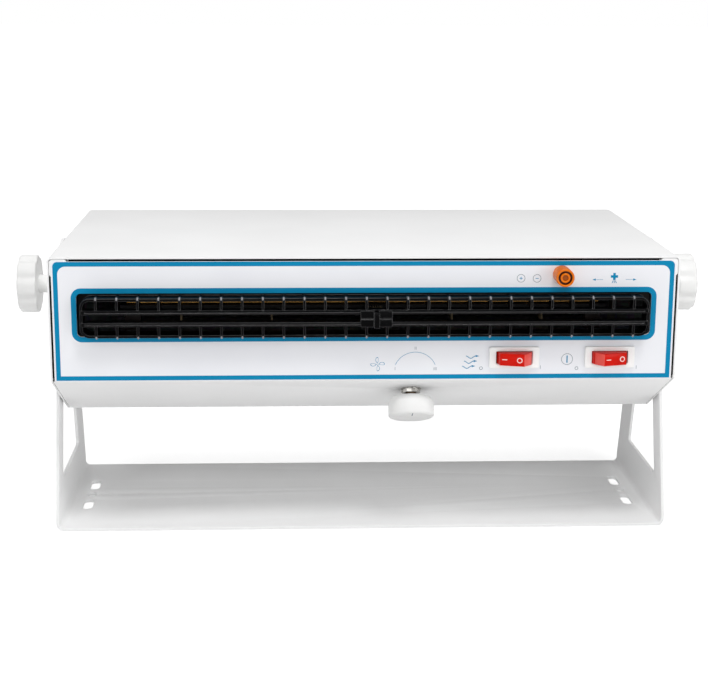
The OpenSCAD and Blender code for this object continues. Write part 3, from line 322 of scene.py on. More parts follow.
fit(seam_shade_strips, seam_shade_black, "housing", "rubber_black")

# --- Front overlay -------------------------------------------------------
# Reverse-printed polycarbonate film, satin and pale grey, bonded to the front panel.
# Blue bands run round the panel and round the outlet.

# The film's satin face keeps soft, wide reflections; the ink shows through it as an even blue
film, _ = surface("satin polycarbonate film", "F0F1F5", "EBECF1", 60.0, 0.8, 0.004, (0.30, 0.36),
                  {"IOR": 1.58, "Specular IOR Level": 0.25})
blue_ink, _ = surface("blue screen print", "0488B6", "0382AE", 70.0, 0.8, 0.003, (0.30, 0.38),
                      {"IOR": 1.5, "Specular IOR Level": 0.1})
dress(film, "panel_overlay")
dress(blue_ink, "border_print")

# --- Printed signs -------------------------------------------------------
# Plain switch and dial signs printed on the overlay in thin grey and blue lines.
# Each colour is one flat layer of ink, cut as outlines and filled.
INK_MM = 0.02
PRINT_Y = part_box("panel_overlay")[0].y / MM


def circle(cx, cz, radius, steps=40):
    turns = [2 * math.pi * i / steps for i in range(steps)]
    return [(cx + radius * math.cos(turn), cz + radius * math.sin(turn)) for turn in turns]


def ring(cx, cz, radius, line):
    return [circle(cx, cz, radius + line / 2), circle(cx, cz, radius - line / 2)]


def ribbon(points, line):
    """The outline of a line of even width along the points."""
    left, right = [], []
    for i, (x, z) in enumerate(points):
        x0, z0 = points[max(i - 1, 0)]
        x1, z1 = points[min(i + 1, len(points) - 1)]
        length = math.hypot(x1 - x0, z1 - z0)
        nx, nz = -(z1 - z0) / length * line / 2, (x1 - x0) / length * line / 2
        left.append((x + nx, z + nz))
        right.append((x - nx, z - nz))
    return [left + right[::-1]]


def printed(name, outlines, material, body="housing", slot="blue_ink", turn=0.0,
            origin=(0.0, 0.0, 0.0), depth_mm=PRINT_Y):
    """Fills outlines, in mm on the X-Z plane, as ink on the plane Y = depth_mm."""
    shape = bpy.data.curves.new(name, "CURVE")
    shape.dimensions = "2D"
    shape.fill_mode = "BOTH"
    shape.extrude = INK_MM * MM
    for outline in outlines:
        line = shape.splines.new("POLY")
        line.points.add(len(outline) - 1)
        line.use_cyclic_u = True
        for point, (x, z) in zip(line.points, outline):
            point.co = (x * MM, z * MM, 0.0, 1.0)
    piece = bpy.data.objects.new(name, shape)
    bpy.context.scene.collection.objects.link(piece)
    only(piece)
    bpy.ops.object.convert(target="MESH")
    piece = bpy.context.object
    stand_up = Matrix.Rotation(math.pi / 2, 4, "X")
    place = Matrix.Translation(Vector(origin)) @ Matrix.Rotation(turn, 4, "Z")
    piece.data.transform(place @ Matrix.Translation((0.0, (depth_mm - INK_MM) * MM, 0.0)) @ stand_up)
    fit(piece, material, body, slot)
    return piece


def arrow(points, line, head, width):
    """A line along the points that ends in a filled head at the last point."""
    (x0, z0), (x1, z1) = points[-2:]
    length = math.hypot(x1 - x0, z1 - z0)
    ux, uz = (x1 - x0) / length, (z1 - z0) / length
    neck = (x1 - ux * head, z1 - uz * head)
    edge = ribbon(points[:-1] + [neck], line)[0]
    barbs = [(neck[0] - uz * width / 2, neck[1] + ux * width / 2), (x1, z1),
             (neck[0] + uz * width / 2, neck[1] - ux * width / 2)]
    half = len(edge) // 2
    return [edge[:half] + barbs + edge[half:]]


def upright(cx, cz, half, line):
    """An upright stroke that reaches as far up as down from its middle."""
    return ribbon([(cx, cz - half), (cx, cz + half)], line)


DRAW_IN = 1.6


def loop(points, line):
    """A thin closed outline: the points and a copy drawn in towards their middle.

    The copy goes in by more than the line's width, because the outline's sides slant."""
    cx = sum(x for x, _ in points) / len(points)
    cz = sum(z for _, z in points) / len(points)
    size = max(math.hypot(x - cx, z - cz) for x, z in points)
    share = 1.0 - line * DRAW_IN / size
    return [points, [(cx + (x - cx) * share, cz + (z - cz) * share) for x, z in points]]


def dial_bars(cx, cz, count):
    """One, two or three upright bars side by side."""
    places = [cx + (i - (count - 1) / 2) * BAR_PITCH for i in range(count)]
    return [bar for x in places for bar in upright(x, cz, BAR_HALF, BAR_LINE)]


def plus(cx, cz, reach, arm):
    """A plus sign as one outline, from one quarter turned over twice."""
    corners = [(reach, arm), (arm, arm), (arm, reach)]
    quarter = [[(cx + sx * x, cz + sz * z) for x, z in (corners if sx * sz > 0 else corners[::-1])]
               for sx, sz in ((1, 1), (-1, 1), (-1, -1), (1, -1))]
    return [sum(quarter, [])]


# Screen ink: flat and even, with a dull sheen a little unlike the film's
grey_ink, _ = surface("grey screen print", "5B6A78", "66737F", 30.0, 0.8, 0.003, (0.35, 0.42), {"IOR": 1.5})
FINE = 0.28
PLUS_X, PLUS_Z, PLUS_R, PLUS_ARM = 98.3, 174.0, 1.0, 0.22
MINUS_X, MINUS_Z, MINUS_R, MINUS_LINE = 108.5, 173.9, 1.0, 0.4
POLE_R = 2.5
POWER_X, POWER_Z, POWER_R, POWER_HALF, POWER_LINE = 129.5, 121.2, 3.6, 2.4, 0.75
OFF_AT, OFF_R = ((74.1, 115.5), (135.8, 115.2)), 0.95
ON_AT, ON_HALF = ((112.4, 116.0), (174.5, 115.7)), 1.1
SPEED_AT = ((18.9, 115.5), (31.9, 128.9), (44.6, 115.3))
BAR_PITCH, BAR_HALF, BAR_LINE = 0.75, 0.95, 0.24
grey_lines = ring(PLUS_X, PLUS_Z, POLE_R, FINE) + ring(MINUS_X, MINUS_Z, POLE_R, FINE)
grey_lines += ring(POWER_X, POWER_Z, POWER_R, FINE)
for x, z in OFF_AT:
    grey_lines += ring(x, z, OFF_R, FINE)
for x, z in ON_AT:
    grey_lines += upright(x, z, ON_HALF, FINE)
for steps_up, (x, z) in enumerate(SPEED_AT):
    grey_lines += dial_bars(x, z, steps_up + 1)
printed("grey_signs", grey_lines, grey_ink)

DIAL_X, DIAL_Z, DIAL_R, DIAL_LINE = 31.8, 112.3, 14.0, 0.26
DIAL_FROM, DIAL_TURN, DIAL_STEPS = 156.0, 132.0, 32
sweep = [math.radians(DIAL_FROM - DIAL_TURN * i / DIAL_STEPS) for i in range(DIAL_STEPS + 1)]
dial = [(DIAL_X + DIAL_R * math.cos(turn), DIAL_Z + DIAL_R * math.sin(turn)) for turn in sweep]
blue_lines = ribbon(dial, DIAL_LINE)
blue_lines += upright(POWER_X, POWER_Z, POWER_HALF, POWER_LINE)
blue_lines += ribbon([(MINUS_X - MINUS_R, MINUS_Z), (MINUS_X + MINUS_R, MINUS_Z)], MINUS_LINE)
blue_lines += plus(PLUS_X, PLUS_Z, PLUS_R, PLUS_ARM)

# The cleaner's sign: a cross over three short rays, with an arrow to each side
CROSS_X, CROSS_Z, CROSS_R, CROSS_ARM = 157.9, 175.0, 2.3, 0.8
RAY_LEAN, RAY_TOP, RAY_FOOT, RAY_LINE = 1.4, 2.6, 4.3, 0.4
ARROW_Z, ARROW_LINE, ARROW_HEAD, HEAD_WIDE = 173.0, 0.2, 2.1, 1.5
blue_lines += plus(CROSS_X, CROSS_Z, CROSS_R, CROSS_ARM)
for lean in (-RAY_LEAN, 0.0, RAY_LEAN):
    ray = [(CROSS_X + lean / 2, CROSS_Z - RAY_TOP), (CROSS_X + lean, CROSS_Z - RAY_FOOT)]
    blue_lines += ribbon(ray, RAY_LINE)
for start, end in ((150.7, 143.9), (165.2, 172.1)):
    blue_lines += arrow([(start, ARROW_Z), (end, ARROW_Z)], ARROW_LINE, ARROW_HEAD, HEAD_WIDE)

# The heater's sign: three waves that end in arrows
WAVE_X, WAVE_Z, WAVE_BACK, WAVE_DOWN = 64.3, 122.8, 1.2, 3.3
WAVE_L, WAVE_HIGH, WAVE_LINE, WAVE_STEPS, HEAD_L = 6.2, 0.75, 0.45, 24, 2.3
for row in range(3):
    x0, z0 = WAVE_X - WAVE_BACK * row, WAVE_Z - WAVE_DOWN * row
    wave = [(x0 + WAVE_L * i / WAVE_STEPS, z0 + WAVE_HIGH * math.cos(2 * math.pi * i / WAVE_STEPS))
            for i in range(WAVE_STEPS)]
    blue_lines += arrow(wave + [(x0 + WAVE_L + HEAD_L, z0 + WAVE_HIGH)], WAVE_LINE, HEAD_L, HEAD_WIDE)

# The fan's sign: rounded blades in outline, each bent round the middle
FAN_X, FAN_Z, FAN_R, FAN_BLADES, FAN_LINE = 7.7, 118.5, 4.6, 4, 0.32
ROOT_R, ROOT_HW, BEND_R, LEAD_WIDE, TRAIL_WIDE = 0.3, 0.1, 1.6, 3.4, 1.1
outward = [math.sin(math.pi / 2 * i / 12) for i in range(13)]
blade_l = FAN_R - ROOT_R
lead = [(ROOT_R + blade_l * t, ROOT_HW + LEAD_WIDE * t * math.sqrt(1.0 - t)) for t in outward]
trail = [(ROOT_R + blade_l * t, -ROOT_HW - TRAIL_WIDE * t * math.sqrt(1.0 - t)) for t in outward[-2::-1]]
for k in range(FAN_BLADES):
    blade = []
    for r, w in lead + trail:
        turn = 2 * math.pi * k / FAN_BLADES + w / max(r, BEND_R)
        blade.append((FAN_X + r * math.cos(turn), FAN_Z + r * math.sin(turn)))
    blue_lines += loop(blade, FAN_LINE)
printed("blue_signs", blue_lines, blue_ink)

# --- Side knobs ----------------------------------------------------------
# Moulded ABS hand knobs on a round hub, with a lobed grip and a slightly domed end.
# Each grip is a turned blank whose rim is drawn in between the lobes.

# White ABS from a fine-eroded mould: a soft sheen along the lobes and no sharp reflection
knob_white, _ = surface("white moulded ABS", "F0F0EF", "ECECEB", 25.0, 0.7, 0.006, (0.30, 0.38),
                        {"IOR": 1.54, "Specular IOR Level": 0.3})
knob_low, knob_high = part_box("side_knob_right")
KNOB_R = (knob_high.y - knob_low.y) / 2 / MM
HUB_R, HUB_L = 6.25, 16.0
HUB_ROUND, HUB_SUNK, BACK_ROUND, FRONT_ROUND = 0.5, 0.5, 1.1, 1.6
LOBES, FLUTE_MM, DOME = 8, 1.5, 0.9
# The domed end rises in rings: how far each is drawn in, in mm, and its share of the rise
DOME_RINGS = ((3.2, 0.5), (4.5, 0.28), (5.0, 0.12))
ROUND_TURN, END_MARGIN = 40.0, 0.1
pivot_z = (knob_low.z + knob_high.z) / 2
knob_length = (knob_high.x - knob_low.x) / MM


def ring_edges(piece, at_x, tolerance=0.02):
    """Selects the edges of the ring at one place along X."""
    bpy.ops.object.mode_set(mode="OBJECT")
    for edge in piece.data.edges:
        a, b = (piece.data.vertices[i].co for i in edge.vertices)
        edge.select = abs(a.x - at_x * MM) < tolerance * MM and abs(b.x - at_x * MM) < tolerance * MM
    bpy.ops.object.mode_set(mode="EDIT")
    bpy.ops.mesh.select_mode(type="EDGE")


def turned_blank(name, radius, x0, x1, sides):
    """A closed cylinder along X, in mm."""
    bpy.ops.object.select_all(action="DESELECT")
    bpy.ops.mesh.primitive_cylinder_add(vertices=sides, radius=radius * MM, depth=(x1 - x0) * MM,
                                        location=((x0 + x1) / 2 * MM, 0.0, 0.0),
                                        rotation=(0.0, math.pi / 2, 0.0))
    piece = bpy.context.object
    piece.name = name
    bpy.ops.object.transform_apply(location=True, rotation=True, scale=True)
    bpy.ops.mesh.customdata_custom_splitnormals_clear()
    return piece


def round_ring(piece, at_x, radius, steps):
    """Rounds the rim at one place along X."""
    for vertex in piece.data.vertices:
        vertex.select = False
    for face in piece.data.polygons:
        face.select = False
    ring_edges(piece, at_x)
    bpy.ops.mesh.bevel(offset=radius * MM, segments=steps, affect="EDGES", profile=0.5)
    bpy.ops.object.mode_set(mode="OBJECT")


def side_knob(side):
    """One hand knob; side is 1 for the right and -1 for the left."""
    name = "side_knob_right" if side > 0 else "side_knob_left"
    grip = turned_blank(name + "_finished", KNOB_R, HUB_L, knob_length - DOME, 192)
    round_ring(grip, HUB_L, BACK_ROUND, 3)
    round_ring(grip, knob_length - DOME, FRONT_ROUND, 4)
    only(grip)
    bpy.ops.object.mode_set(mode="EDIT")
    bpy.ops.mesh.select_mode(type="FACE")
    bpy.ops.mesh.select_all(action="DESELECT")
    bpy.ops.object.mode_set(mode="OBJECT")
    for face in grip.data.polygons:
        face.select = face.center.x > (knob_length - DOME - END_MARGIN) * MM and len(face.vertices) > 8
    bpy.ops.object.mode_set(mode="EDIT")
    for step, rise in DOME_RINGS:
        bpy.ops.mesh.inset(thickness=step * MM)
        bpy.ops.transform.translate(value=(rise * DOME * MM, 0.0, 0.0))
    bpy.ops.object.mode_set(mode="OBJECT")
    for vertex in grip.data.vertices:
        angle = math.atan2(vertex.co.z, vertex.co.y)
        reach = min(math.hypot(vertex.co.y, vertex.co.z) / (KNOB_R * MM), 1.0)
        valley = (0.5 - 0.5 * math.cos(LOBES * angle)) ** 3
        drawn_in = 1.0 - FLUTE_MM / KNOB_R * valley * reach ** 4
        vertex.co.y *= drawn_in
        vertex.co.z *= drawn_in
    hub = turned_blank("hub", HUB_R, 0.0, HUB_L + HUB_SUNK, 64)
    round_ring(hub, 0.0, HUB_ROUND, 3)
    joined(grip.name, [grip, hub])
    grip.data.transform(Matrix.Translation((knob_low.x, 0.0, pivot_z)))
    if side < 0:
        grip.data.transform(Matrix.Scale(-1.0, 4, (1.0, 0.0, 0.0)))
        bpy.ops.object.mode_set(mode="EDIT")
        bpy.ops.mesh.select_all(action="SELECT")
        bpy.ops.mesh.normals_make_consistent(inside=False)
        bpy.ops.object.mode_set(mode="OBJECT")
    bpy.ops.object.shade_smooth_by_angle(angle=math.radians(ROUND_TURN))
    fit(grip, knob_white, body_of[name], slot_of[name], name)


side_knob(1)
side_knob(-1)

# --- Pivots --------------------------------------------------------------
# Zinc-plated clamping studs and pivot plates, with black rubber friction washers.
# The small steel screws and nuts of the whole blower are plated in the same way.
METAL = {"Metallic": 1.0}
# Bright zinc over cold-rolled steel: grey, with the faint grain of the steel
zinc, _ = surface("zinc-plated steel", "C9CBCD", "B7BABD", 14.0, 0.9, 0.01, (0.26, 0.42), METAL)
# Moulded rubber: nearly black, with hardly any sheen
rubber, _ = surface("black moulded rubber", "1B1B1C", "141415", 10.0, 0.8, 0.02, (0.6, 0.75), {"IOR": 1.52})
dress(zinc, "pivot_plate_left", "pivot_plate_right", "side_stud_left", "side_stud_right", "cover_screws",
      "guard_nuts", "inlet_screws", "guard_screws")
dress(rubber, "friction_washers", "bush_mount")

# --- Outlet guard --------------------------------------------------------
# Black ABS guard moulded in one piece: a tub wall, two rails and rows of ribs.
# The texture of the mould leaves it satin, and its rounded edges carry a painted highlight of lighter grey.

# Black ABS off the mould: deep black faces
black_abs, _ = surface("black moulded ABS", "050506", "030304", 20.0, 0.6, 0.012, (0.24, 0.34),
                       {"IOR": 1.54, "Specular IOR Level": 0.03})
# Its rounded edges are painted a lighter grey with more gloss: a painted highlight that shows as thin grey lines
edge_highlight_abs, _ = surface("black ABS with painted edge highlight", "242428", "1B1B1E", 6.0, 0.6, 0.004, (0.14, 0.22),
                       {"IOR": 1.54, "Specular IOR Level": 0.8})
# The ribs' tips stand out most: they are painted pale grey, a painted highlight on their rounded tops
tip_highlight_abs, _ = surface("black ABS with painted tip highlight", "8E8E93", "77777C", 3.0, 0.5, 0.006, (0.25, 0.35), {"IOR": 1.54})
softened("outlet_guard", 0.3, black_abs, edge_material=edge_highlight_abs)
guard_low, guard_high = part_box("outlet_guard")
RIB_PITCH, RIB_HW, RIB_TOP, RIB_END = 13.0, 0.75, 13.1, 17.0
GUARD_FRONT, TIP_R, TIP_SPREAD, TIP_RISE = 11.1, 1.5, 1.05, 0.25
OUTLET_Z = (guard_low.z + guard_high.z) / 2 / MM
ribs_each_side = int(((guard_high.x - guard_low.x) / 2 / MM - RIB_END) // RIB_PITCH)


def repeated(name, piece, places):
    """Copies a piece to each place, in mm, and joins the copies in its stead."""
    copies = []
    for place in places:
        copy = bpy.data.objects.new(name, piece.data.copy())
        bpy.context.scene.collection.objects.link(copy)
        copy.data.transform(Matrix.Translation(Vector(place) * MM))
        copies.append(copy)
    bpy.data.objects.remove(piece)
    return joined(name, copies)


# Small rounded caps stand for the ribs' rounded tips; their pale colour is a painted highlight
bpy.ops.object.select_all(action="DESELECT")
bpy.ops.mesh.primitive_uv_sphere_add(segments=16, ring_count=10, radius=1.0 * MM,
                                     scale=(RIB_HW * TIP_SPREAD, TIP_R, TIP_R))
bpy.ops.object.transform_apply(location=True, rotation=True, scale=True)
tip = bpy.context.object
tip_places = [(rib * RIB_PITCH, PRINT_Y - GUARD_FRONT + TIP_R, OUTLET_Z + row * (RIB_TOP - TIP_R + TIP_RISE))
              for row in (-1, 1) for rib in range(-ribs_each_side, ribs_each_side + 1)]
rib_tips = repeated("guard_rib_tips", tip, tip_places)
bpy.ops.object.shade_smooth()
fit(rib_tips, tip_highlight_abs, "housing", "black_plastic")

# --- Point cleaner -------------------------------------------------------
# Black sliding block with a raised thumb fin, on the guard's two rails.
# Behind the rails it carries a brush of pale nylon bristles.
# Its rounded edges carry the same painted highlight
softened("cleaner_slider", 0.15, black_abs, edge_material=edge_highlight_abs)
# Natural nylon: straw-coloured and dull where many bristles lie side by side
nylon, _ = surface("nylon bristles", "D8C9A0", "C4B388", 4.0, 0.4, 0.02, (0.5, 0.6), {"IOR": 1.53})
brush_low, brush_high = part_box("cleaner_brush")
BLOCK_MM, BLOCK_ROUND = 7.0, 0.5
TUFT_ROWS, TUFT_COLUMNS, TUFT_SUNK = 4, 6, 0.4
TUFT_X, TUFT_Z, TUFT_PITCH_X, TUFT_PITCH_Z = 1.2, 1.0, 1.52, 1.67
TUFT_ROOT, TUFT_END = 0.38, 0.22
brush_size = (brush_high - brush_low) / MM
brush_middle = (brush_high + brush_low) / 2 / MM
brush = block((brush_size.x, BLOCK_MM, brush_size.z),
              (brush_middle.x, brush_low.y / MM + BLOCK_MM / 2, brush_middle.z))
bpy.ops.object.mode_set(mode="EDIT")
bpy.ops.mesh.select_all(action="SELECT")
bpy.ops.mesh.bevel(offset=BLOCK_ROUND * MM, segments=2, affect="EDGES")
bpy.ops.object.mode_set(mode="OBJECT")
tuft_y = brush_low.y / MM + BLOCK_MM - TUFT_SUNK
tuft_l = brush_high.y / MM - tuft_y
bpy.ops.object.select_all(action="DESELECT")
bpy.ops.mesh.primitive_cone_add(vertices=7, radius1=TUFT_ROOT * MM, radius2=TUFT_END * MM, depth=tuft_l * MM,
                                rotation=(-math.pi / 2, 0.0, 0.0))
bpy.ops.object.transform_apply(location=True, rotation=True, scale=True)
tuft = bpy.context.object
tuft_places = [(brush_low.x / MM + TUFT_X + TUFT_PITCH_X * column, tuft_y + tuft_l / 2,
                brush_low.z / MM + TUFT_Z + TUFT_PITCH_Z * row)
               for row in range(TUFT_ROWS) for column in range(TUFT_COLUMNS)]
tufts = repeated("tufts", tuft, tuft_places)
joined("cleaner_brush_finished", [brush, tufts])
fit(brush, nylon, "cleaner", "bristle", "cleaner_brush")

# --- Switches ------------------------------------------------------------
# Rocker switches in white nylon bezels, snapped into the panel.
# The rockers are polished red polycarbonate with white stamped signs.

# Nylon off the mould: white, with a dull sheen
switch_white, _ = surface("white moulded nylon", "F6F6F5", "F2F2F1", 12.0, 0.6, 0.006, (0.34, 0.42),
                          {"IOR": 1.53})
# Dyed polycarbonate from a polished mould: a deep, even red
rocker_red, _ = surface("red polished polycarbonate", "D21402", "C81000", 8.0, 0.8, 0.002, (0.10, 0.16),
                        {"IOR": 1.58, "Specular IOR Level": 0.07})
# The facet at the raised end is painted paler and made duller: a painted highlight for the light falling on that
# side
lit_facet_red, _ = surface("red polycarbonate with painted facet highlight", "EA4030", "E03626", 5.0, 0.6, 0.004,
                        (0.28, 0.36), {"IOR": 1.58, "Specular IOR Level": 0.5})
# Hot-stamped foil: white, with a little of the red in it
stamp_white, _ = surface("white hot stamping", "F7E2DF", "F3D9D5", 4.0, 0.5, 0.002, (0.35, 0.42),
                         {"IOR": 1.5})
ROCKER_TURN, ROCKER_RISE, LIT_FACET_SIDE, LIT_FACET_FRONT = 16.0, 8.6, 0.12, 0.5
SIGN_X, SIGN_HALF, SIGN_R, SIGN_LINE = 4.8, 1.6, 1.5, 0.55
on_and_off = ribbon([(-SIGN_X - SIGN_HALF, 0.0), (-SIGN_X + SIGN_HALF, 0.0)], SIGN_LINE)
on_and_off += ring(SIGN_X, 0.0, SIGN_R, SIGN_LINE)
joint_at = {joint["name"]: Vector(joint["pos_m"]) for joint in frame["joints"] if "pos_m" in joint}
for name, raised in (("heat", 1), ("power", -1)):
    softened(name + "_switch_body", 0.35, switch_white)
    rocker = softened(name + "_rocker", 0.45, rocker_red, steps=3)
    rocker.data.materials.append(lit_facet_red)
    # The raised end's facet gets the painted highlight
    for face in rocker.data.polygons:
        if raised * face.normal.x > LIT_FACET_SIDE and face.normal.y < -LIT_FACET_FRONT:
            face.material_index = 1
    printed(name + "_rocker_signs", on_and_off, stamp_white, body=name + "_rocker", slot="white_plastic",
            turn=math.radians(-raised * ROCKER_TURN), origin=joint_at[name + "_rocker_tilt"],
            depth_mm=-ROCKER_RISE)

# --- Lamp ----------------------------------------------------------------
# Amber acrylic lens over a small neon lamp, in a dark holder behind the panel.
# The moulded groove in its face is painted darker towards its floor, as painted shade.

# Clear dyed acrylic: saturated amber at the rims, with painted shade in dark brown where the groove is deep
amber, lens_nodes = surface("clear amber acrylic", "F07E0A", "E87006", 6.0, 0.8, 0.002, (0.10, 0.16),
                            {"IOR": 1.49, "Specular IOR Level": 0.12, "Transmission Weight": 0.1})
lens_low, lens_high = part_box("lamp_lens")
LENS_X, LENS_Z = (lens_low.x + lens_high.x) / 2, (lens_low.z + lens_high.z) / 2
LENS_R = (lens_high.x - lens_low.x) / 2 / MM
LENS_Y = lens_low.y / MM
RIM_MM, RIM_ROUND = 1.4, 0.7
GROOVE_IN, GROOVE_OUT, GROOVE_MM = 3.1, LENS_R - RIM_MM, 2.6
RING_SET, RING_ROUND, EYE_R, EYE_MM, EYE_EASE = 0.3, 0.4, 1.9, 1.3, 0.3
DARK_FROM, DARK_TO, DARK_OVER = 0.4, 1.8, 0.1
lens_tree = lens_nodes["tree"]
depth = add(lens_tree, "SeparateXYZ", links={0: lens_nodes["place"].outputs["Object"]})
across = add(lens_tree, "CombineXYZ", links={"X": depth.outputs["X"], "Z": depth.outputs["Z"]})
radius = add(lens_tree, "VectorMath", {"operation": "DISTANCE", 1: (LENS_X, 0.0, LENS_Z)},
             {0: across.outputs[0]})
inside = add(lens_tree, "Math", {"operation": "LESS_THAN", 1: (GROOVE_OUT + DARK_OVER) * MM},
             {0: radius.outputs["Value"]})
deep = add(lens_tree, "MapRange",
           {"From Min": (LENS_Y + DARK_FROM) * MM, "From Max": (LENS_Y + DARK_TO) * MM},
           {"Value": depth.outputs["Y"]})
shaded = add(lens_tree, "Math", {"operation": "MULTIPLY"}, {0: deep.outputs[0], 1: inside.outputs[0]})
# Painted shade: inside its rim the groove darkens to brown with depth
painted_groove_shade = add(lens_tree, "Mix", {"data_type": "RGBA", 7: linear("4E1C02")},
            {"Factor": shaded.outputs[0], 6: lens_nodes["tone"].outputs[2]})
lens_tree.links.new(lens_nodes["shader"].inputs["Base Color"], painted_groove_shade.outputs[2])


def turned(name, profile, steps=72):
    """A closed solid spun about the Y axis from (radius, y) points in mm that start and end on it."""
    mesh = bpy.data.meshes.new(name)
    corners = [(r * MM, y * MM, 0.0) for r, y in profile]
    mesh.from_pydata(corners, [(i, i + 1) for i in range(len(corners) - 1)], [])
    piece = bpy.data.objects.new(name, mesh)
    bpy.context.scene.collection.objects.link(piece)
    only(piece)
    bpy.ops.object.mode_set(mode="EDIT")
    bpy.ops.mesh.select_all(action="SELECT")
    bpy.ops.mesh.spin(steps=steps, angle=2 * math.pi, center=(0.0, 0.0, 0.0), axis=(0.0, 1.0, 0.0))
    bpy.ops.mesh.select_all(action="SELECT")
    bpy.ops.mesh.remove_doubles(threshold=0.005 * MM)
    bpy.ops.mesh.normals_make_consistent(inside=False)
    bpy.ops.object.mode_set(mode="OBJECT")
    return piece


def rounded(r0, r1, y0, edge, steps=4):
    """The profile of a ring's front at y0, from radius r0 to r1, with both its rims rounded."""
    turn = [math.pi / 2 * i / steps for i in range(steps + 1)]
    inner = [(r0 + edge * (1 - math.cos(a)), y0 + edge * (1 - math.sin(a))) for a in turn]
    outer = [(r1 - edge * (1 - math.sin(a)), y0 + edge * (1 - math.cos(a))) for a in turn]
    return inner + outer


lens = turned("lamp_lens_finished",
              [(0.0, LENS_Y + EYE_MM), (EYE_R - EYE_EASE, LENS_Y + EYE_MM)]
              + rounded(EYE_R, GROOVE_IN, LENS_Y + RING_SET, RING_ROUND)
              + [(GROOVE_IN, LENS_Y + GROOVE_MM), (GROOVE_OUT, LENS_Y + GROOVE_MM)]
              + rounded(GROOVE_OUT, LENS_R, LENS_Y, RIM_ROUND)
              + [(LENS_R, lens_high.y / MM), (0.0, lens_high.y / MM)])
lens.data.transform(Matrix.Translation((LENS_X, 0.0, LENS_Z)))
only(lens)
bpy.ops.object.shade_smooth_by_angle(angle=math.radians(ROUND_TURN))
fit(lens, amber, "housing", "amber_lens", "lamp_lens")
# The holder's nylon is dark and dull
dark_nylon, _ = surface("dark grey nylon", "2A2A2C", "232325", 10.0, 0.7, 0.01, (0.45, 0.55), {"IOR": 1.53})
dress(dark_nylon, "lamp_body")

# --- Fan-speed control ---------------------------------------------------
# Potentiometer behind the sloping front, with a plated nut and a round white knob.
# The knob has a rounded shoulder next to the panel and one thin pointer line.

# Bright nickel: nearly a mirror, so it shows the dark and light around it
bright, _ = surface("bright nickel plate", "A8A6A2", "94928E", 5.0, 0.9, 0.004, (0.08, 0.16), METAL)
# Pressed phenolic wafers in a tinned can, seen as one dull brown
phenolic, _ = surface("brown phenolic and tin", "6B5138", "5C4530", 6.0, 0.7, 0.01, (0.4, 0.5), {"IOR": 1.6})
dress(phenolic, "speed_pot")
softened("pot_nut", 0.2, bright)
dress(bright, "pot_spindle")
slope_out = Vector(next(joint["axis"] for joint in frame["joints"] if joint["name"] == "speed_turn"))
speed_at = joint_at["speed_turn"]
SPEED_R, SPEED_L, SPEED_GAP = 15.0, 13.8, 5.4
SHOULDER_ROUND, END_ROUND = 5.2, 2.0
POINTER_HIGH, POINTER_WIDE, POINTER_L, POINTER_AT, POINTER_ROUND = 0.3, 0.6, 7.0, 9.0, 0.1
speed_end = SPEED_GAP + SPEED_L
speed = turned_blank("speed_knob_finished", SPEED_R, SPEED_GAP, speed_end, 128)
round_ring(speed, SPEED_GAP, SHOULDER_ROUND, 10)
round_ring(speed, speed_end, END_ROUND, 5)
along_slope = slope_out.to_track_quat("X", "Z").to_matrix().to_4x4()
speed.data.transform(Matrix.Translation(speed_at) @ along_slope)
only(speed)
bpy.ops.object.shade_smooth_by_angle(angle=math.radians(ROUND_TURN))
fit(speed, knob_white, "speed", "white_plastic", "speed_knob")
pointer = block((POINTER_HIGH, POINTER_WIDE, POINTER_L), (speed_end, 0.0, POINTER_AT))
pointer.name = "speed_knob_pointer"
bpy.ops.object.mode_set(mode="EDIT")
bpy.ops.mesh.select_all(action="SELECT")
bpy.ops.mesh.bevel(offset=POINTER_ROUND * MM, segments=2, affect="EDGES")
bpy.ops.object.mode_set(mode="OBJECT")
pointer.data.transform(Matrix.Translation(speed_at) @ along_slope)
fit(pointer, grey_ink, "speed", "black_plastic")

# --- Ionizer and heater --------------------------------------------------
# Emitter bar with ground steel needles and a brass feed rod, on glazed posts.
# Behind it, dull resistance wires pass through mica boards.

# Glass-filled nylon: black and quite dull, because the fibres roughen its skin
bar_plastic, _ = surface("black glass-filled nylon", "0B0B0C", "070708", 10.0, 0.7, 0.012, (0.4, 0.5),
                         {"IOR": 1.53, "Specular IOR Level": 0.1})
# Brass that has been in the air for years: a warm, uneven brown-yellow
brass, _ = surface("tarnished brass", "B08648", "9C743A", 6.0, 0.7, 0.006, (0.18, 0.32), METAL)
# Ground tungsten steel: pale grey, with a clean sheen
needle_steel, _ = surface("ground tungsten steel", "BFC0C2", "AEB0B3", 4.0, 0.5, 0.003, (0.15, 0.25), METAL)
# Glazed steatite: dark brown and smooth
glaze, _ = surface("brown glazed steatite", "1A0E08", "120A06", 8.0, 0.8, 0.004, (0.2, 0.3),
                   {"IOR": 1.55, "Specular IOR Level": 0.1})
# Mica board: straw-brown, with the mottle of its pressed flakes
mica, _ = surface("pressed mica board", "B6A27C", "A18D68", 3.0, 0.6, 0.02, (0.45, 0.6), {"IOR": 1.58})
# Nichrome that has glowed: a dull brown-grey oxide
nichrome, _ = surface("oxidised nichrome wire", "7C766E", "6B655E", 5.0, 0.6, 0.01, (0.4, 0.5), METAL)
dress(bar_plastic, "emitter_bar", "thermal_cutout", "hv_module")
dress(brass, "emitter_bus", "board_spacers", "ground_post")
dress(needle_steel, "emitter_points")
dress(glaze, "emitter_posts")
dress(mica, "heater_boards")
dress(nichrome, "heater_wires")

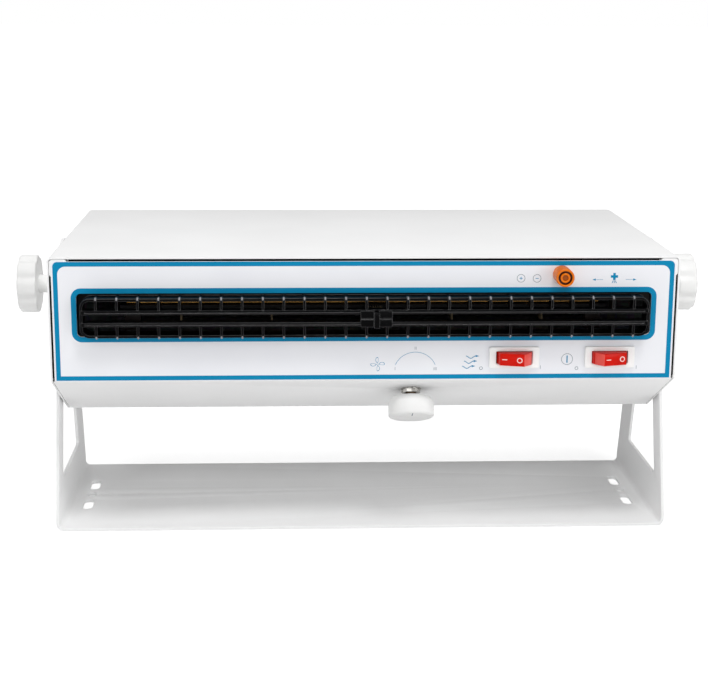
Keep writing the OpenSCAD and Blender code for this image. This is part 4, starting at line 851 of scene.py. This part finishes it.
# --- Fan and duct --------------------------------------------------------
# Galvanised sheet duct round a black cross-flow impeller on a ground steel shaft.
# The sheet shows the large pale flakes of hot-dip zinc.
galvanised, spangle = surface("galvanised sheet", "B9BDC0", "A3A8AC", 9.0, 1.0, 0.008, (0.35, 0.5), METAL)
FLAKE_MM = 7.0
flakes = add(spangle["tree"], "TexVoronoi", {"Scale": 1.0 / (FLAKE_MM * MM)},
             {"Vector": spangle["place"].outputs["Object"]})
flake_tone = add(spangle["tree"], "Mix", {"data_type": "RGBA", "blend_type": "MULTIPLY", "Factor": 0.18},
                 {6: spangle["tone"].outputs[2], 7: flakes.outputs["Color"]})
spangle["tree"].links.new(spangle["shader"].inputs["Base Color"], flake_tone.outputs[2])
dress(galvanised, "fan_plate_left", "fan_plate_right", "fan_scroll", "fan_tongue", "duct_sides",
      "motor_brackets")
# Moulded fan plastic: black and dull
fan_black, _ = surface("black fan plastic", "19191B", "121214", 20.0, 0.8, 0.01, (0.4, 0.5), {"IOR": 1.53})
dress(fan_black, "impeller")
dress(needle_steel, "fan_shaft")
# Sintered bronze: brown and dull, because its face is full of pores
bronze, _ = surface("sintered bronze", "9C6B3E", "875A33", 3.0, 0.4, 0.02, (0.4, 0.55), METAL)
dress(bronze, "shaft_bush")

# --- Motor ---------------------------------------------------------------
# Shaded-pole motor: a stack of steel laminations, a varnished copper winding and a die-cast rotor.
# The stack's sides show its sheets, and the winding shows its turns.


def stripes(made, nodes, axis, pitch_mm, depth_mm):
    """Cuts a material with even grooves across one axis, drawn coarse enough to show."""
    split = add(nodes["tree"], "SeparateXYZ", links={0: nodes["place"].outputs["Object"]})
    scaled = add(nodes["tree"], "Math", {"operation": "MULTIPLY", 1: 2 * math.pi / (pitch_mm * MM)},
                 {0: split.outputs[axis]})
    wave = add(nodes["tree"], "Math", {"operation": "SINE"}, {0: scaled.outputs[0]})
    lines = add(nodes["tree"], "Bump", {"Strength": 0.8, "Distance": depth_mm * MM},
                {"Height": wave.outputs[0], "Normal": nodes["bump"].outputs[0]})
    nodes["tree"].links.new(nodes["shader"].inputs["Normal"], lines.outputs[0])
    return made


SHEET_MM, SHEET_DEEP, WIRE_MM, WIRE_DEEP = 1.0, 0.1, 1.2, 0.25
# Stamped sheets in a stack: blue-grey, with a line between every two
lamination = stripes(*surface("laminated steel", "6E7276", "5F6367", 6.0, 0.7, 0.01, (0.35, 0.5), METAL),
                     "X", SHEET_MM, SHEET_DEEP)
# Enamelled wire under varnish: red-brown, with the ridge of every turn
winding = stripes(*surface("varnished copper winding", "B5502A", "9C4222", 5.0, 0.6, 0.01, (0.2, 0.3),
                           {"Metallic": 0.7}), "Y", WIRE_MM, WIRE_DEEP)
# Die-cast aluminium: light grey, with a soft sheen
cast_aluminium, _ = surface("die-cast aluminium", "B9BBBD", "A9ABAD", 5.0, 0.6, 0.01, (0.3, 0.42), METAL)
dress(lamination, "motor_core")
dress(winding, "motor_coil")
dress(cast_aluminium, "motor_rotor")

# --- Electronics ---------------------------------------------------------
# Glass-epoxy board with its parts, on brass spacers, beside the potted high-voltage supply.
# The board is coated with solder mask, and its parts stand on it in one colour.
board_green, _ = surface("green solder mask", "14532B", "0F4724", 4.0, 0.6, 0.01, (0.25, 0.35), {"IOR": 1.55})
part_shell, _ = surface("blue component sleeve", "23324F", "1B2840", 5.0, 0.6, 0.008, (0.3, 0.4),
                        {"IOR": 1.53})
dress(board_green, "power_board")
dress(part_shell, "board_parts")

# --- Rear fittings -------------------------------------------------------
# Black appliance inlet with nickel pins and a fuse drawer, screwed to the rear wall.
# A sheet of open-cell foam behind the slotted intake plate keeps the dust out.

# Moulded polyamide: black, with a dull sheen
inlet_black, _ = surface("black moulded polyamide", "17171A", "111113", 8.0, 0.6, 0.01, (0.38, 0.5),
                         {"IOR": 1.53})
softened("inlet_body", 0.4, inlet_black)
softened("fuse_drawer", 0.25, inlet_black)
dress(bright, "inlet_pins")
# The fuse's glass and its plated caps, seen as one pale gloss
clear_glass, _ = surface("fuse glass and caps", "D8DEDF", "CBD2D4", 5.0, 0.8, 0.002, (0.05, 0.12),
                         {"IOR": 1.5, "Transmission Weight": 0.5})
dress(clear_glass, "fuse")
# Open-cell foam: dark and quite dull, with its cells drawn as coarse pits
foam, foam_nodes = surface("open-cell foam", "2E2E30", "1F1F21", 2.5, 0.8, 0.3, (0.8, 0.95), {"IOR": 1.45})
CELL_MM, PIT_MM = 1.6, 0.5
cells = add(foam_nodes["tree"], "TexVoronoi", {"Scale": 1.0 / (CELL_MM * MM), "feature": "DISTANCE_TO_EDGE"},
            {"Vector": foam_nodes["place"].outputs["Object"]})
pits = add(foam_nodes["tree"], "Bump", {"Strength": 1.0, "Distance": PIT_MM * MM},
           {"Height": cells.outputs["Distance"], "Normal": foam_nodes["bump"].outputs[0]})
foam_nodes["tree"].links.new(foam_nodes["shader"].inputs["Normal"], pits.outputs[0])
dress(foam, "intake_filter")
